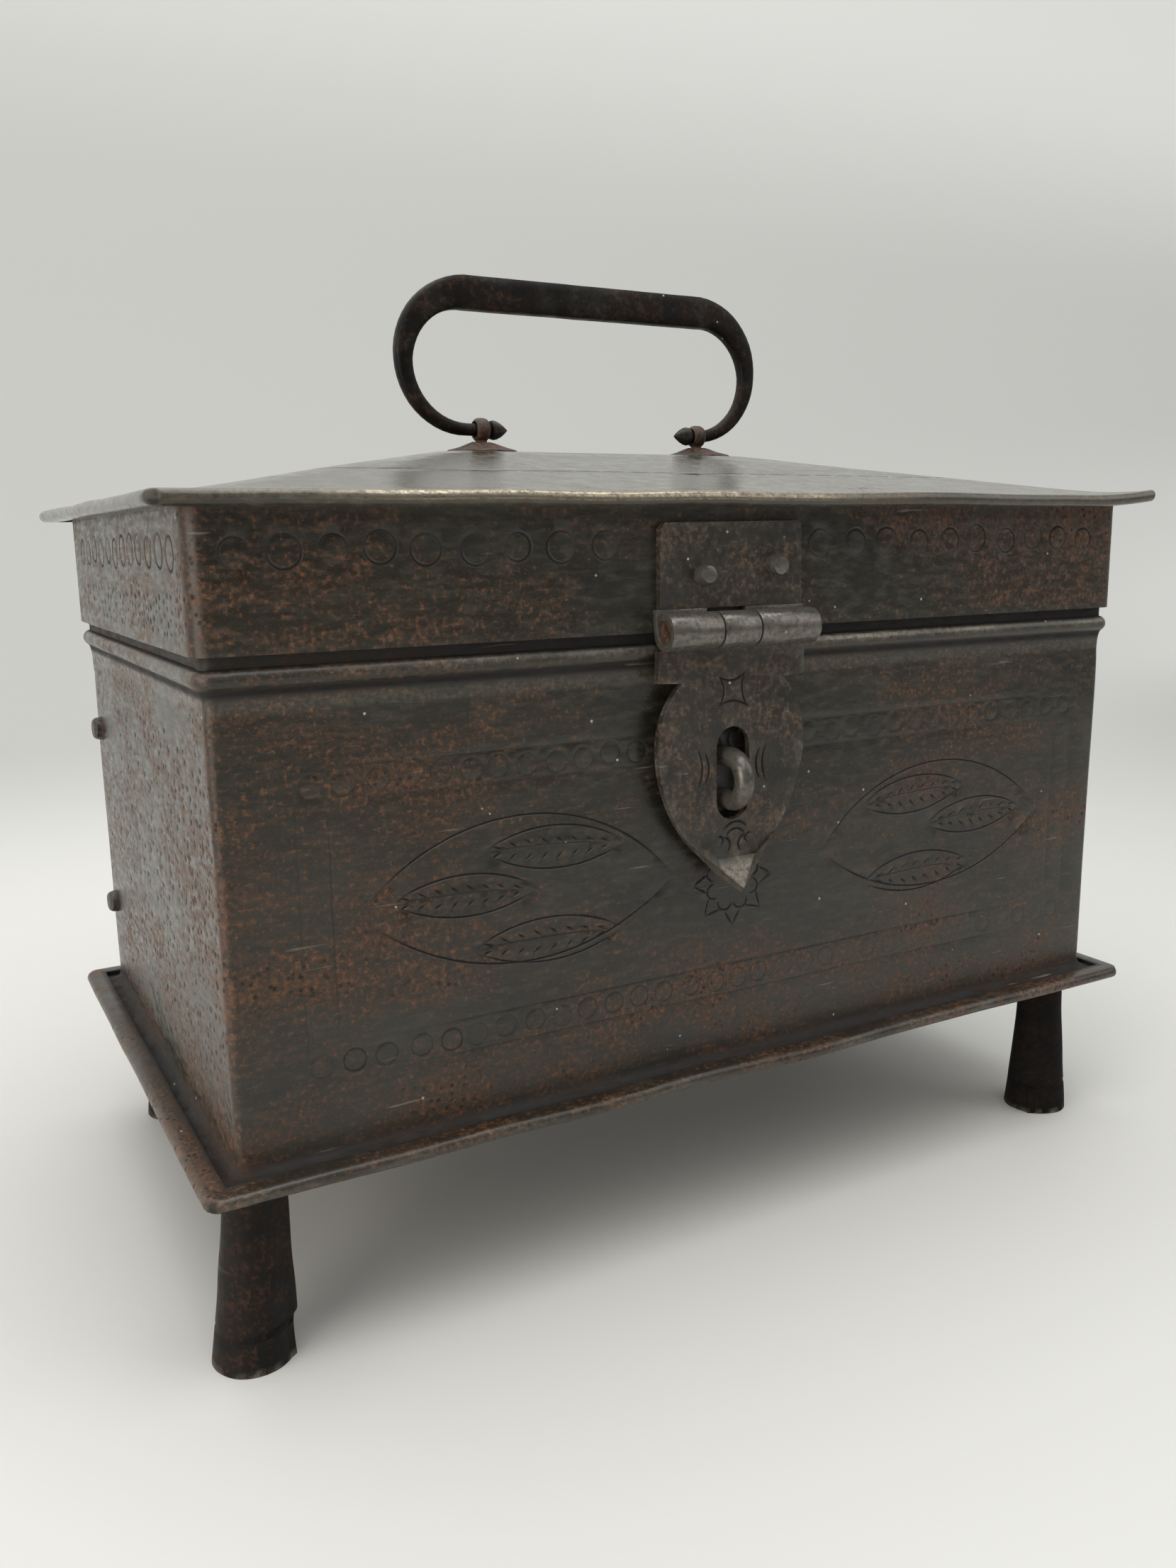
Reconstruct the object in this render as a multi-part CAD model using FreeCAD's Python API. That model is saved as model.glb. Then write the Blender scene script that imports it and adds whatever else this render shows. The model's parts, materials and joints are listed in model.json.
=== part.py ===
import FreeCAD, Part
import math
import os

# A small sheet-iron casket: one wrapped wall, a hemmed base on four rolled feet,
# a hipped lid on two strap hinges, a bail handle, and a hasp that drops over a staple.
# X runs along the front, Y to the back and Z up; the origin is on the floor under the middle.
# Sections are drawn as (out, z), where out is measured outwards from the lid skirt's outer face.

# Stock and fits
sheet = 1.0               # wall, base, lid and feet
strap = 1.6               # hasp and hinge plates
hole_clearance = 0.1      # round a rivet, tang or tab, each side
running_clearance = 0.05  # pin in a knuckle, each side
turning_gap = 0.4         # round and beside a knuckle that turns
seat_gap = 0.1            # pieces that bear on a curve
lid_gap = 0.5             # lid skirt over the wall's bead
lip_clearance = 0.9       # wall lip inside the lid skirt
overrun = 2.0             # cutters run past the face by this

# Plan and heights
skirt_width = 240.0
skirt_depth = 138.0
corner_radius = 4.0
foot_height = 38.6
wall_height = 90.4        # base plate to the foot of the bead
skirt_height = 28.0
roof_rise = 11.8

# Wall
wall_set_in = 2.0         # wall face behind the skirt face
bead_set_in = 0.15        # bead crest behind the skirt face
bead_rise = 8.2           # foot of the cove to the crest
bead_crown = 4.0          # radius over the crest
lip_height = 10.0         # lip above the skirt's lower edge
wall_flange = 4.4         # turned-out foot of the wall, beyond the skirt face
lap_width = 10.0          # lapped seam inside the left face
lap_margin = 4.0          # lap stops short of base and bead

# Base plate
base_ledge = 6.0          # beyond the skirt face
base_hem_cover_share = 0.6
hem_notch = 1.2           # front and back hems stop short of the corner
hem_butt_gap = 0.4        # side hems stop short of the front and back hems

# Feet
foot_top_radius = 5.5
foot_bottom_radius = 8.2
foot_insets_x = (4.5, 11.5, 14.0, 8.0)  # front left, front right, back left, back right
foot_inset_y = 7.0
foot_lap_angle = 40.0
foot_lap_turn = 330.0     # where the lap stands round the front left foot
tab_width = 4.0
tab_root = 4.0            # tab joins the foot's wall over this height
tab_length = 6.0
tab_spread = 34.0         # each tab this far round from the inward diagonal
inward_diagonal = 45.0

# Lid
lid_ledge = 7.0
lid_hem_cover_share = 0.55
skirt_flange = 5.4
roof_foot_in = 4.0        # roof starts this far inside the ledge edge
summit_half_length = 46.0
summit_half_width = 11.5
summit_corner = 9.0
roof_run_shares = (0.0, 0.08, 0.30, 0.65, 1.0)
roof_rise_shares = (0.0, 0.05, 0.275, 0.645, 1.0)

# Hasp and hinges
knuckle_radius = 4.0
pin_radius = 2.35
barrel_rise = 0.3         # barrel axis above the skirt's lower edge
pin_recess = 0.6
roll_groove = 0.6         # mark where the rolled sheet closes
roll_close_angle = 60.0   # and where it stands round the barrel
hasp_shift = -5.4
hasp_plate_width = 37.4
hasp_plate_height = 22.8
barrel_overhang_left = 0.8
barrel_overhang_right = 0.6
hasp_knuckle_shares = (0.40, 0.25, 0.35)
leaf_set_out = 0.6
leaf_length = 59.0        # barrel axis to the flat point
leaf_swell = 0.9          # leaf wider than the plate above, each side
leaf_neck_half = 13.6
leaf_bar_height = 11.3
leaf_swell_drop = 25.2    # barrel axis to the widest place
leaf_cheek_half = 12.0
leaf_cheek_drop = 46.3    # barrel axis to where the sides run straight to the point
leaf_tip_length = 7.4
leaf_tip_angle = 38.0
slot_width = 8.0
slot_height = 21.0
slot_drop = 21.5          # barrel axis to the slot's top

hinge_span = 132.0
hinge_width = 30.0
hinge_knuckle_shares = (0.33, 0.34, 0.33)
hinge_leaf_height = 21.0
hinge_strap_length = 42.0
joggle_margin = 1.5

# Staple
staple_wire = 4.5
staple_pitch = 9.7        # between the two legs
staple_reach = 8.8        # front of the loop beyond the skirt face
staple_drop = 33.4        # barrel axis to the middle of the loop
staple_tang_radius = 1.5
staple_clinch = 8.0

# Rivets
rivet_radius = 1.5
hasp_rivet_head = 2.3
hasp_rivet_height = 3.2
hasp_rivet_span = 19.0
hasp_rivet_shift = 1.6    # both rivets sit to the right of the plate's middle
hasp_rivet_skew = 1.0     # left rivet this much lower and right one higher
skirt_rivet_rise = 12.4   # rivets on the skirt above the barrel axis
strap_rivet_head = 2.9
strap_rivet_height = 1.8
strap_rivet_span = 14.0
strap_rivet_pitch = 13.0
strap_rivet_margin = 5.8  # lowest rivet above the strap's end
seam_rivet_height_shares = (0.19, 0.72)
tail_radius = 2.4
tail_height = 0.8
head_taper_share = 0.82

# Handle
handle_shift = 0.6
eye_span = 64.4
eye_width = 3.6
eye_radius = 2.9
eye_hole = 1.9
eye_shank = 1.4
eye_leg_radius = 0.9
eye_leg_length = 8.0
rosette_radius = 9.2
rosette_height = 2.8
rosette_rim = 0.8
rosette_crown = 2.4
rosette_swell = 0.4       # dome above a straight cone
rosette_valley_share = 0.86
rosette_lobes = 8
bail_rod = 3.0
bail_side_depth = 3.7
bail_side_thickness = 3.6
bail_top_depth = 8.0
bail_top_thickness = 4.4
bail_arc = 16.0           # radius of the middle of each end bend
bail_arc_set_out = 2.0    # bend centre beyond the eye
bail_shift = -1.8          # bends and grip stand this far off the eyes' middle
bail_rod_reach = 3.0      # rod inside the eye
bail_edge_share = 0.3     # rounded edge against the smaller side
bail_rod_edge_share = 0.46
bail_bend_steps = 4       # sections from rod to grip round a bend
grip_station_shares = (0.85, 0.4)
knob_radius = 2.4
knob_length = 4.2
knob_shoulder_share = 0.22
knob_sides = 6

# Levels and places that follow
origin = FreeCAD.Vector(0, 0, 0)
along_x = FreeCAD.Vector(1, 0, 0)
along_y = FreeCAD.Vector(0, 1, 0)
along_z = FreeCAD.Vector(0, 0, 1)
half_width = skirt_width / 2
half_depth = skirt_depth / 2
floor_z = foot_height + sheet
cove_z = floor_z + wall_height
crest_z = cove_z + bead_rise


def crown_height(drop):
    """Height above the crest's centre level where the crown has dropped back by this much."""
    return math.sqrt(bead_crown ** 2 - (bead_crown - drop) ** 2)


skirt_z = crest_z + crown_height(sheet - bead_set_in) + lid_gap
skirt_top = skirt_z + skirt_height
roof_z = skirt_top + sheet
summit_z = roof_z + roof_rise
lip_in = sheet + lip_clearance
lip_z = crest_z + crown_height(lip_in - bead_set_in)
lip_top = skirt_z + lip_height
axis_z = skirt_z + barrel_rise
axis_out = knuckle_radius + turning_gap
bore_radius = pin_radius + running_clearance
leaf_half_width = hasp_plate_width / 2 + leaf_swell
barrel_left = hasp_shift - hasp_plate_width / 2 - barrel_overhang_left
barrel_right = hasp_shift + hasp_plate_width / 2 + barrel_overhang_right
pivot_z = summit_z + rosette_height + eye_radius + seat_gap
hem_inner = sheet / 2
hem_outer = hem_inner + sheet
plan_shift = (staple_reach - axis_out - knuckle_radius) / 2


def vec(x, y, z):
    return FreeCAD.Vector(x, y, z)


def front_point(out, z, x=0.0, half=half_depth):
    """A point on the front side, out from the skirt's face."""
    return vec(x, -half - out, z)


def closed_face(start, steps, place):
    """A face from straight steps, written (a, b), and arcs, written (middle, end)."""
    edges = []
    here = start
    for step in steps:
        bent = isinstance(step[0], tuple)
        there = step[1] if bent else step
        if bent:
            edges.append(Part.Arc(place(*here), place(*step[0]), place(*there)).toShape())
        else:
            edges.append(Part.makeLine(place(*here), place(*there)))
        here = there
    if here != start:
        edges.append(Part.makeLine(place(*here), place(*start)))
    return Part.Face(Part.Wire(edges))


def polar(centre, radius, degrees):
    turn = math.radians(degrees)
    return (centre[0] + radius * math.cos(turn), centre[1] + radius * math.sin(turn))


def bend(centre, radius, first, last):
    """The middle and end of an arc, for closed_face."""
    return (polar(centre, radius, (first + last) / 2), polar(centre, radius, last))


def box(low, high):
    size = [b - a for a, b in zip(low, high)]
    return Part.makeBox(size[0], size[1], size[2], vec(*low))


def merged(shapes):
    return shapes[0].multiFuse(list(shapes[1:])).removeSplitter()


def mirror_x(shape):
    return shape.mirror(origin, along_x)


def mirror_y(shape):
    return shape.mirror(origin, along_y)


def side_run(start, steps, half_out, half_run):
    """A section drawn on the front side and drawn out to both ends."""
    face = closed_face(start, steps, lambda out, z: front_point(out, z, -half_run, half_out))
    return face.extrude(vec(2 * half_run, 0, 0))


def four_sides(start, steps, front_half_run, side_half_run):
    front = side_run(start, steps, half_depth, front_half_run)
    right = side_run(start, steps, half_width, side_half_run)
    right.rotate(origin, along_z, 90)
    return [front, mirror_y(front), right, mirror_x(right)]


def four_corners(start, steps):
    """A section turned round the bend of each corner."""
    x = half_width - corner_radius
    face = closed_face(start, steps, lambda out, z: front_point(out, z, x))
    turned = face.revolve(vec(x, corner_radius - half_depth, 0), along_z, 90)
    return [turned, mirror_x(turned), mirror_y(turned), mirror_x(mirror_y(turned))]


def cylinder(start, direction, radius, length):
    return Part.makeCylinder(radius, length, start, direction)


def front_rivet(x, z, face_out, grip, head, height):
    """A rivet driven from the front: tapered head, shank through the grip, tail inside."""
    seat = front_point(face_out, z, x)
    top = Part.makeCone(head, head * head_taper_share, height, seat, -along_y)
    shank = cylinder(seat, along_y, rivet_radius, grip)
    tail_seat = front_point(face_out - grip, z, x)
    tail = Part.makeCone(tail_radius, tail_radius * head_taper_share, tail_height, tail_seat, along_y)
    return merged([top, shank, tail])


def front_hole(x, z, radius):
    """A cutter through any front sheet or plate."""
    start = front_point(strap + overrun, z, x)
    return cylinder(start, along_y, radius, strap + wall_set_in + sheet + 2 * overrun)


def bead_steps():
    """Outer line of the wall above the cove's foot, then the lip."""
    proud = wall_set_in - bead_set_in
    angle = math.degrees(2 * math.atan(proud / bead_rise))
    radius = proud / (1 - math.cos(math.radians(angle))) / 2
    cove = bend((radius - wall_set_in, cove_z), radius, 180, 180 - angle)
    swell = bend((-bead_set_in - radius, crest_z), radius, -angle, 0)
    drop = math.degrees(math.acos(1 - (lip_in - bead_set_in) / bead_crown))
    crown = bend((-bead_set_in - bead_crown, crest_z), bead_crown, 0, drop)
    return [cove, swell, crown]


def shifted_back(step):
    """The same step on the sheet's inner face."""
    if isinstance(step[0], tuple):
        return tuple((out - sheet, z) for out, z in step)
    return (step[0] - sheet, step[1])


def backwards(start, steps):
    """A line of steps followed from its end to its start."""
    ends = [start] + [s[1] if isinstance(s[0], tuple) else s for s in steps]
    turned = []
    for step, before in zip(reversed(steps), reversed(ends[:-1])):
        turned.append((step[0], before) if isinstance(step[0], tuple) else before)
    return turned


def wall_section(foot_steps):
    """Closed section of the wall sheet; foot_steps leads from the inner foot to the outer face."""
    foot = (-wall_set_in, cove_z)
    rise = bead_steps()
    inner = [shifted_back(step) for step in rise]
    steps = foot_steps + [foot] + rise + [(-lip_in, lip_top), (-lip_in - sheet, lip_top)]
    steps = steps + [(-lip_in - sheet, lip_z)] + backwards(shifted_back(foot), inner)
    return (-wall_set_in - sheet, floor_z), steps


def staple_tangs():
    """The two places where the staple's legs pass the wall."""
    middle = axis_z - staple_drop
    return [middle - staple_pitch / 2, middle + staple_pitch / 2]


def hinge_places():
    return [-hinge_span / 2, hinge_span / 2]


def strap_rivet_levels():
    low = axis_z - hinge_strap_length + strap_rivet_margin
    return [low, low + strap_rivet_pitch]


def seam_rivet_levels():
    return [cove_z - wall_height * share for share in seam_rivet_height_shares]


def lap_centre_y():
    return half_depth - corner_radius - lap_width / 2


def wall_band():
    flange = [(wall_flange, floor_z), (wall_flange, floor_z + sheet), (-wall_set_in, floor_z + sheet)]
    start, side_steps = wall_section(flange)
    start, corner_steps = wall_section([(-wall_set_in, floor_z)])
    x_run = half_width - corner_radius
    y_run = half_depth - corner_radius
    band = merged(four_sides(start, side_steps, x_run, y_run) + four_corners(start, corner_steps))
    inner = -half_width + wall_set_in + sheet
    lap_y = lap_centre_y() - lap_width / 2
    lap_low = (inner, lap_y, floor_z + lap_margin)
    lap_high = (inner + sheet, lap_y + lap_width, cove_z - lap_margin)
    band = merged([band, box(lap_low, lap_high)])
    tang_hole = staple_tang_radius + hole_clearance
    rivet_hole = rivet_radius + hole_clearance
    cutters = [front_hole(hasp_shift, z, tang_hole) for z in staple_tangs()]
    for x in hinge_places():
        cutters += [mirror_y(front_hole(x, z, rivet_hole)) for z in strap_rivet_levels()]
    for z in seam_rivet_levels():
        at = vec(-half_width - overrun, lap_centre_y(), z)
        cutters.append(cylinder(at, along_x, rivet_hole, wall_set_in + 2 * sheet + 2 * overrun))
    return band.cut(cutters)


def hem_steps(edge, plate_z, cover, up):
    """Section of a hem: the plate's edge folded round a flange and back over it."""
    centre = (edge - hem_outer, plate_z + up * hem_outer)
    back = edge - cover
    start = (centre[0] - hem_outer, plate_z)
    fold_top = centre[1] + up * hem_outer
    fold_under = centre[1] + up * hem_inner
    steps = [(centre[0], plate_z), bend(centre, hem_outer, -90 * up, 90 * up)]
    steps += [(back, fold_top), (back, fold_under)]
    steps += [(centre[0], fold_under), bend(centre, hem_inner, 90 * up, -90 * up)]
    steps += [(start[0], plate_z + up * sheet)]
    return start, steps


def hems(ledge, plate_z, cover, up):
    start, steps = hem_steps(ledge, plate_z, cover, up)
    front_run = half_width + ledge - hem_notch
    side_run_half = half_depth + ledge - cover - hem_butt_gap
    return four_sides(start, steps, front_run, side_run_half)


def ledge_plate(ledge, z):
    """Flat sheet up to where its hems begin to bend."""
    x = half_width + ledge - hem_outer
    y = half_depth + ledge - hem_outer
    return box((-x, -y, z), (x, y, z + sheet))


def tab_bar(turn, reach, half_thick, half_wide, low, high):
    """An upright bar where a tab stands on the foot's rim, from half_thick behind it to reach in front."""
    rim = foot_top_radius - sheet / 2
    bar = box((rim - half_thick, -half_wide, low), (rim + reach, half_wide, high))
    bar.rotate(origin, along_z, inward_diagonal + turn)
    return bar


def at_each_foot(shape):
    """A shape drawn round the front left foot's axis, turned and set at all four feet."""
    ways = [shape, mirror_x(shape), mirror_y(shape), mirror_x(mirror_y(shape))]
    sides = [(-1, -1), (1, -1), (-1, 1), (1, 1)]
    for way, side, inset in zip(ways, sides, foot_insets_x):
        way.translate(vec(side[0] * (half_width - inset), side[1] * (half_depth - foot_inset_y), 0))
    return ways


def base_plate():
    cover = (base_ledge + wall_set_in) * base_hem_cover_share
    plate = merged([ledge_plate(base_ledge, foot_height)] + hems(base_ledge, foot_height, cover, 1))
    half_thick = sheet / 2 + hole_clearance
    half_wide = tab_width / 2 + hole_clearance
    cutters = []
    for turn in (-tab_spread, tab_spread):
        slot = tab_bar(turn, half_thick, half_thick, half_wide, foot_height - overrun, floor_z + overrun)
        cutters += at_each_foot(slot)
    return plate.cut(cutters)


def foot():
    """The front left foot: a rolled cone with a lapped seam and two tabs clinched in the base."""
    shell = Part.makeCone(foot_bottom_radius, foot_top_radius, foot_height)
    lap = Part.makeCone(foot_bottom_radius + sheet, foot_top_radius + sheet, foot_height,
                        origin, along_z, foot_lap_angle)
    lap.rotate(origin, along_z, foot_lap_turn)
    hollow = Part.makeCone(foot_bottom_radius - sheet, foot_top_radius - sheet, foot_height)
    pieces = [shell.fuse(lap).cut(hollow)]
    half_wide = tab_width / 2
    for turn in (-tab_spread, tab_spread):
        root = foot_height - tab_root
        pieces.append(tab_bar(turn, sheet / 2, sheet / 2, half_wide, root, floor_z + sheet))
        pieces.append(tab_bar(turn, tab_length, sheet / 2, half_wide, floor_z, floor_z + sheet))
    return merged(pieces)


def lid_skirt():
    low = (-sheet, skirt_z)
    plain = [(0, skirt_z), (0, skirt_top), (-sheet, skirt_top)]
    flange_z = skirt_top - sheet
    flanged = [(0, skirt_z), (0, flange_z), (skirt_flange, flange_z), (skirt_flange, skirt_top),
               (-sheet, skirt_top)]
    x_run = half_width - corner_radius
    y_run = half_depth - corner_radius
    skirt = merged(four_sides(low, flanged, x_run, y_run) + four_corners(low, plain))
    hole = rivet_radius + hole_clearance
    cutters = [front_hole(x, z, hole) for x, z in hasp_rivet_places()]
    cutters += [mirror_y(front_hole(x, axis_z + skirt_rivet_rise, hole)) for x in hinge_rivet_places()]
    return skirt.cut(cutters)


def rounded_rectangle(half_x, half_y, radius, z):
    x = half_x - radius
    y = half_y - radius
    edges = []
    for sx, sy, first in ((1, 1, 0), (-1, 1, 90), (-1, -1, 180), (1, -1, 270)):
        points = [polar((sx * x, sy * y), radius, first + turn) for turn in (0, 45, 90)]
        edges.append(Part.Arc(*[vec(p[0], p[1], z) for p in points]).toShape())
    closed = []
    for edge, following in zip(edges, edges[1:] + edges[:1]):
        closed.append(edge)
        end = edge.valueAt(edge.LastParameter)
        closed.append(Part.makeLine(end, following.valueAt(following.FirstParameter)))
    return Part.Wire(closed)


def roof_solid(drop):
    """The hipped roof down to its foot, lowered by drop."""
    foot_x = half_width + lid_ledge - roof_foot_in
    foot_y = half_depth + lid_ledge - roof_foot_in
    wires = []
    for run, rise in zip(roof_run_shares, roof_rise_shares):
        half_x = foot_x + (summit_half_length - foot_x) * run
        half_y = foot_y + (summit_half_width - foot_y) * run
        radius = roof_foot_in + (summit_corner - roof_foot_in) * run
        wires.append(rounded_rectangle(half_x, half_y, radius, roof_z + roof_rise * rise - drop))
    return Part.makeLoft(wires, True, False)


def lid_top():
    cover = (lid_ledge + sheet) * lid_hem_cover_share
    plate = merged([ledge_plate(lid_ledge, skirt_top)] + hems(lid_ledge, roof_z, cover, -1))
    top = plate.fuse(roof_solid(0)).cut(roof_solid(sheet))
    shank = eye_shank + hole_clearance
    cutters = []
    for x in eye_places():
        start = vec(x, 0, summit_z - sheet - overrun)
        cutters.append(cylinder(start, along_z, shank, sheet + 2 * overrun))
    return top.cut(cutters).removeSplitter()


def spans(left, right, shares):
    """Three knuckles along a barrel as (start, end), parted by the turning gap."""
    first = left + shares[0] * (right - left)
    last = right - shares[2] * (right - left)
    half = turning_gap / 2
    return (left, first - half), (first + half, last - half), (last + half, right)


def knuckle(start, end, radius):
    return cylinder(front_point(axis_out, axis_z, start), along_x, radius, end - start)


def rolled_plate(plate, own, others):
    """A plate whose knuckles are rolled round the pin and cut clear of the other leaf's."""
    for start, end in others:
        room = knuckle(start - turning_gap, end + turning_gap, knuckle_radius + turning_gap)
        plate = plate.cut(room)
    rolls = [knuckle(start, end, knuckle_radius) for start, end in own]
    bores = [knuckle(start - overrun, end + overrun, bore_radius) for start, end in own]
    return merged([plate] + rolls).cut(bores)


def roll_mark(piece, own):
    """A shallow groove along each knuckle where the roll meets its plate again."""
    groove = polar((axis_out, axis_z), knuckle_radius, roll_close_angle)
    return piece.cut([cylinder(front_point(*groove, start), along_x, roll_groove, end - start)
                      for start, end in own])


def hasp_rivet_places():
    """Both rivets of the hasp plate as (x, z)."""
    x = hasp_shift + hasp_rivet_shift
    z = axis_z + skirt_rivet_rise
    half = hasp_rivet_span / 2
    return [(x - half, z - hasp_rivet_skew), (x + half, z + hasp_rivet_skew)]


def hinge_rivet_places():
    places = []
    for x in hinge_places():
        places += [x - strap_rivet_span / 2, x + strap_rivet_span / 2]
    return places


def plate_on_skirt(left, right, height):
    low = front_point(strap, axis_z, left)
    high = front_point(0, axis_z + height, right)
    return box(low, high)


def hasp_plate():
    first, middle, last = spans(barrel_left, barrel_right, hasp_knuckle_shares)
    left = hasp_shift - hasp_plate_width / 2
    plate = plate_on_skirt(left, left + hasp_plate_width, hasp_plate_height)
    piece = rolled_plate(plate, [first, last], [middle])
    piece = roll_mark(piece, [first, last])
    hole = rivet_radius + hole_clearance
    return piece.cut([front_hole(x, z, hole) for x, z in hasp_rivet_places()])


def leaf_side(end):
    """Arc from the widest place of the leaf, where it runs upright, to a point above or below."""
    widest = (leaf_half_width, axis_z - leaf_swell_drop)
    across = widest[0] - end[0]
    up = end[1] - widest[1]
    radius = (across ** 2 + up ** 2) / (2 * across)
    turn = math.degrees(math.asin(up / radius))
    return polar((widest[0] - radius, widest[1]), radius, turn / 2)


def leaf_outline():
    """Front view of the hasp leaf: bar, neck, swelling sides and point, clockwise from the top left."""
    neck = (leaf_neck_half, axis_z - leaf_bar_height)
    swell = (leaf_half_width, axis_z - leaf_swell_drop)
    cheek = (leaf_cheek_half, axis_z - leaf_cheek_drop)
    bar = (leaf_half_width, neck[1])
    right = [(leaf_half_width, axis_z), bar, neck, (leaf_side(neck), swell), (leaf_side(cheek), cheek)]
    right.append((0, axis_z - leaf_length))
    left = [cheek, (leaf_side(cheek), swell), (leaf_side(neck), neck), bar, (leaf_half_width, axis_z)]
    return (-leaf_half_width, axis_z), right + [flipped(step) for step in left]


def flipped(step):
    """A step of an outline on the other side of its middle line."""
    if isinstance(step[0], tuple):
        return tuple((-x, z) for x, z in step)
    return (-step[0], step[1])


def hasp_leaf():
    """The hanging leaf: slotted, with its point turned out as a finger lift."""
    first, middle, last = spans(barrel_left, barrel_right, hasp_knuckle_shares)
    start, steps = leaf_outline()
    face = closed_face(start, steps, lambda x, z: front_point(leaf_set_out, z, x + hasp_shift))
    flat = face.extrude(-along_y * strap)
    bend_z = axis_z - leaf_length + leaf_tip_length
    reach = leaf_half_width + overrun
    below = box(front_point(leaf_set_out + strap + overrun, bend_z - leaf_length, hasp_shift - reach),
                front_point(leaf_set_out - overrun, bend_z, hasp_shift + reach))
    tip = flat.common(below)
    tip.rotate(front_point(leaf_set_out, bend_z, 0), -along_x, leaf_tip_angle)
    plate = merged([flat.cut(below), tip])
    radius = slot_width / 2
    slot_top = axis_z - slot_drop
    cutter_y = front_point(leaf_set_out - overrun, 0)[1]
    depth = strap + 2 * overrun
    slot = box((hasp_shift - radius, cutter_y - depth, slot_top - slot_height + radius),
               (hasp_shift + radius, cutter_y, slot_top - radius))
    for z in (slot_top - radius, slot_top - slot_height + radius):
        slot = slot.fuse(cylinder(vec(hasp_shift, cutter_y - depth, z), along_y, radius, depth))
    piece = rolled_plate(plate.cut(slot), [middle], [first, last])
    return roll_mark(piece, [middle])


def barrel_pin(left, right):
    return knuckle(left + pin_recess, right - pin_recess, pin_radius)


def hasp_rivets():
    return Part.makeCompound([front_rivet(x, z, strap, strap + sheet, hasp_rivet_head, hasp_rivet_height)
                              for x, z in hasp_rivet_places()])


def staple():
    """A bent rod: loop in front, shouldered tangs through the wall, clinched up and down inside."""
    radius = staple_wire / 2
    bend_radius = staple_pitch / 2
    bend_out = staple_reach - radius - bend_radius
    low, high = staple_tangs()
    middle = (low + high) / 2
    ring = Part.makeCircle(radius, front_point(bend_out, high, hasp_shift), along_y)
    disc = Part.Face(Part.Wire([ring]))
    loop = disc.revolve(front_point(bend_out, middle, hasp_shift), along_x, 180)
    pieces = [loop]
    inner = -wall_set_in - sheet - staple_tang_radius - seat_gap
    for z, way in ((low, -1), (high, 1)):
        pieces.append(cylinder(front_point(bend_out, z, hasp_shift), along_y, radius, bend_out + wall_set_in))
        face = front_point(-wall_set_in, z, hasp_shift)
        pieces.append(cylinder(face, along_y, staple_tang_radius, -wall_set_in - inner))
        corner = front_point(inner, z, hasp_shift)
        pieces.append(Part.makeSphere(staple_tang_radius, corner))
        pieces.append(cylinder(corner, along_z * way, staple_tang_radius, staple_clinch))
    return merged(pieces)


def hinge_barrel(x):
    return spans(x - hinge_width / 2, x + hinge_width / 2, hinge_knuckle_shares)


def hinge_ends(x):
    return (x - hinge_width / 2, x + hinge_width / 2)


def hinge_lid_leaf(x):
    """Drawn on the front, then turned to the back: leaf on the lid with the middle knuckle."""
    first, middle, last = hinge_barrel(x)
    plate = plate_on_skirt(x - hinge_width / 2, x + hinge_width / 2, hinge_leaf_height)
    piece = rolled_plate(plate, [middle], [first, last])
    hole = rivet_radius + hole_clearance
    rivets = (x - strap_rivet_span / 2, x + strap_rivet_span / 2)
    return mirror_y(piece.cut([front_hole(at, axis_z + skirt_rivet_rise, hole) for at in rivets]))


def hinge_body_leaf(x):
    """Strap down the back wall, set in below the bead, with the two outer knuckles."""
    first, middle, last = hinge_barrel(x)
    end_z = axis_z - hinge_strap_length
    joggle_low = cove_z - joggle_margin
    face_out = turning_gap + strap
    steps = [(face_out, crest_z), (strap - wall_set_in, joggle_low), (strap - wall_set_in, end_z)]
    steps += [(-wall_set_in, end_z), (-wall_set_in, joggle_low), (turning_gap, crest_z), (turning_gap, axis_z)]
    face = closed_face((face_out, axis_z), steps, lambda out, z: front_point(out, z, x - hinge_width / 2))
    plate = face.extrude(vec(hinge_width, 0, 0))
    piece = rolled_plate(plate, [first, last], [middle])
    hole = rivet_radius + hole_clearance
    return mirror_y(piece.cut([front_hole(x, z, hole) for z in strap_rivet_levels()]))


def hinge_pin(x):
    return mirror_y(barrel_pin(*hinge_ends(x)))


def hinge_lid_rivets():
    z = axis_z + skirt_rivet_rise
    return Part.makeCompound([
        mirror_y(front_rivet(x, z, strap, strap + sheet, strap_rivet_head, strap_rivet_height))
        for x in hinge_rivet_places()])


def hinge_body_rivets():
    face = strap - wall_set_in
    return Part.makeCompound([
        mirror_y(front_rivet(x, z, face, strap + sheet, strap_rivet_head, strap_rivet_height))
        for x in hinge_places() for z in strap_rivet_levels()])


def seam_rivets():
    rivets = []
    for z in seam_rivet_levels():
        rivet = front_rivet(0, z, -wall_set_in, 2 * sheet, strap_rivet_head, strap_rivet_height)
        rivet.translate(vec(-lap_centre_y(), half_depth - half_width, 0))
        rivet.rotate(origin, along_z, -90)
        rivets.append(rivet)
    return Part.makeCompound(rivets)


def eye_places():
    return [handle_shift - eye_span / 2, handle_shift + eye_span / 2]


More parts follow.
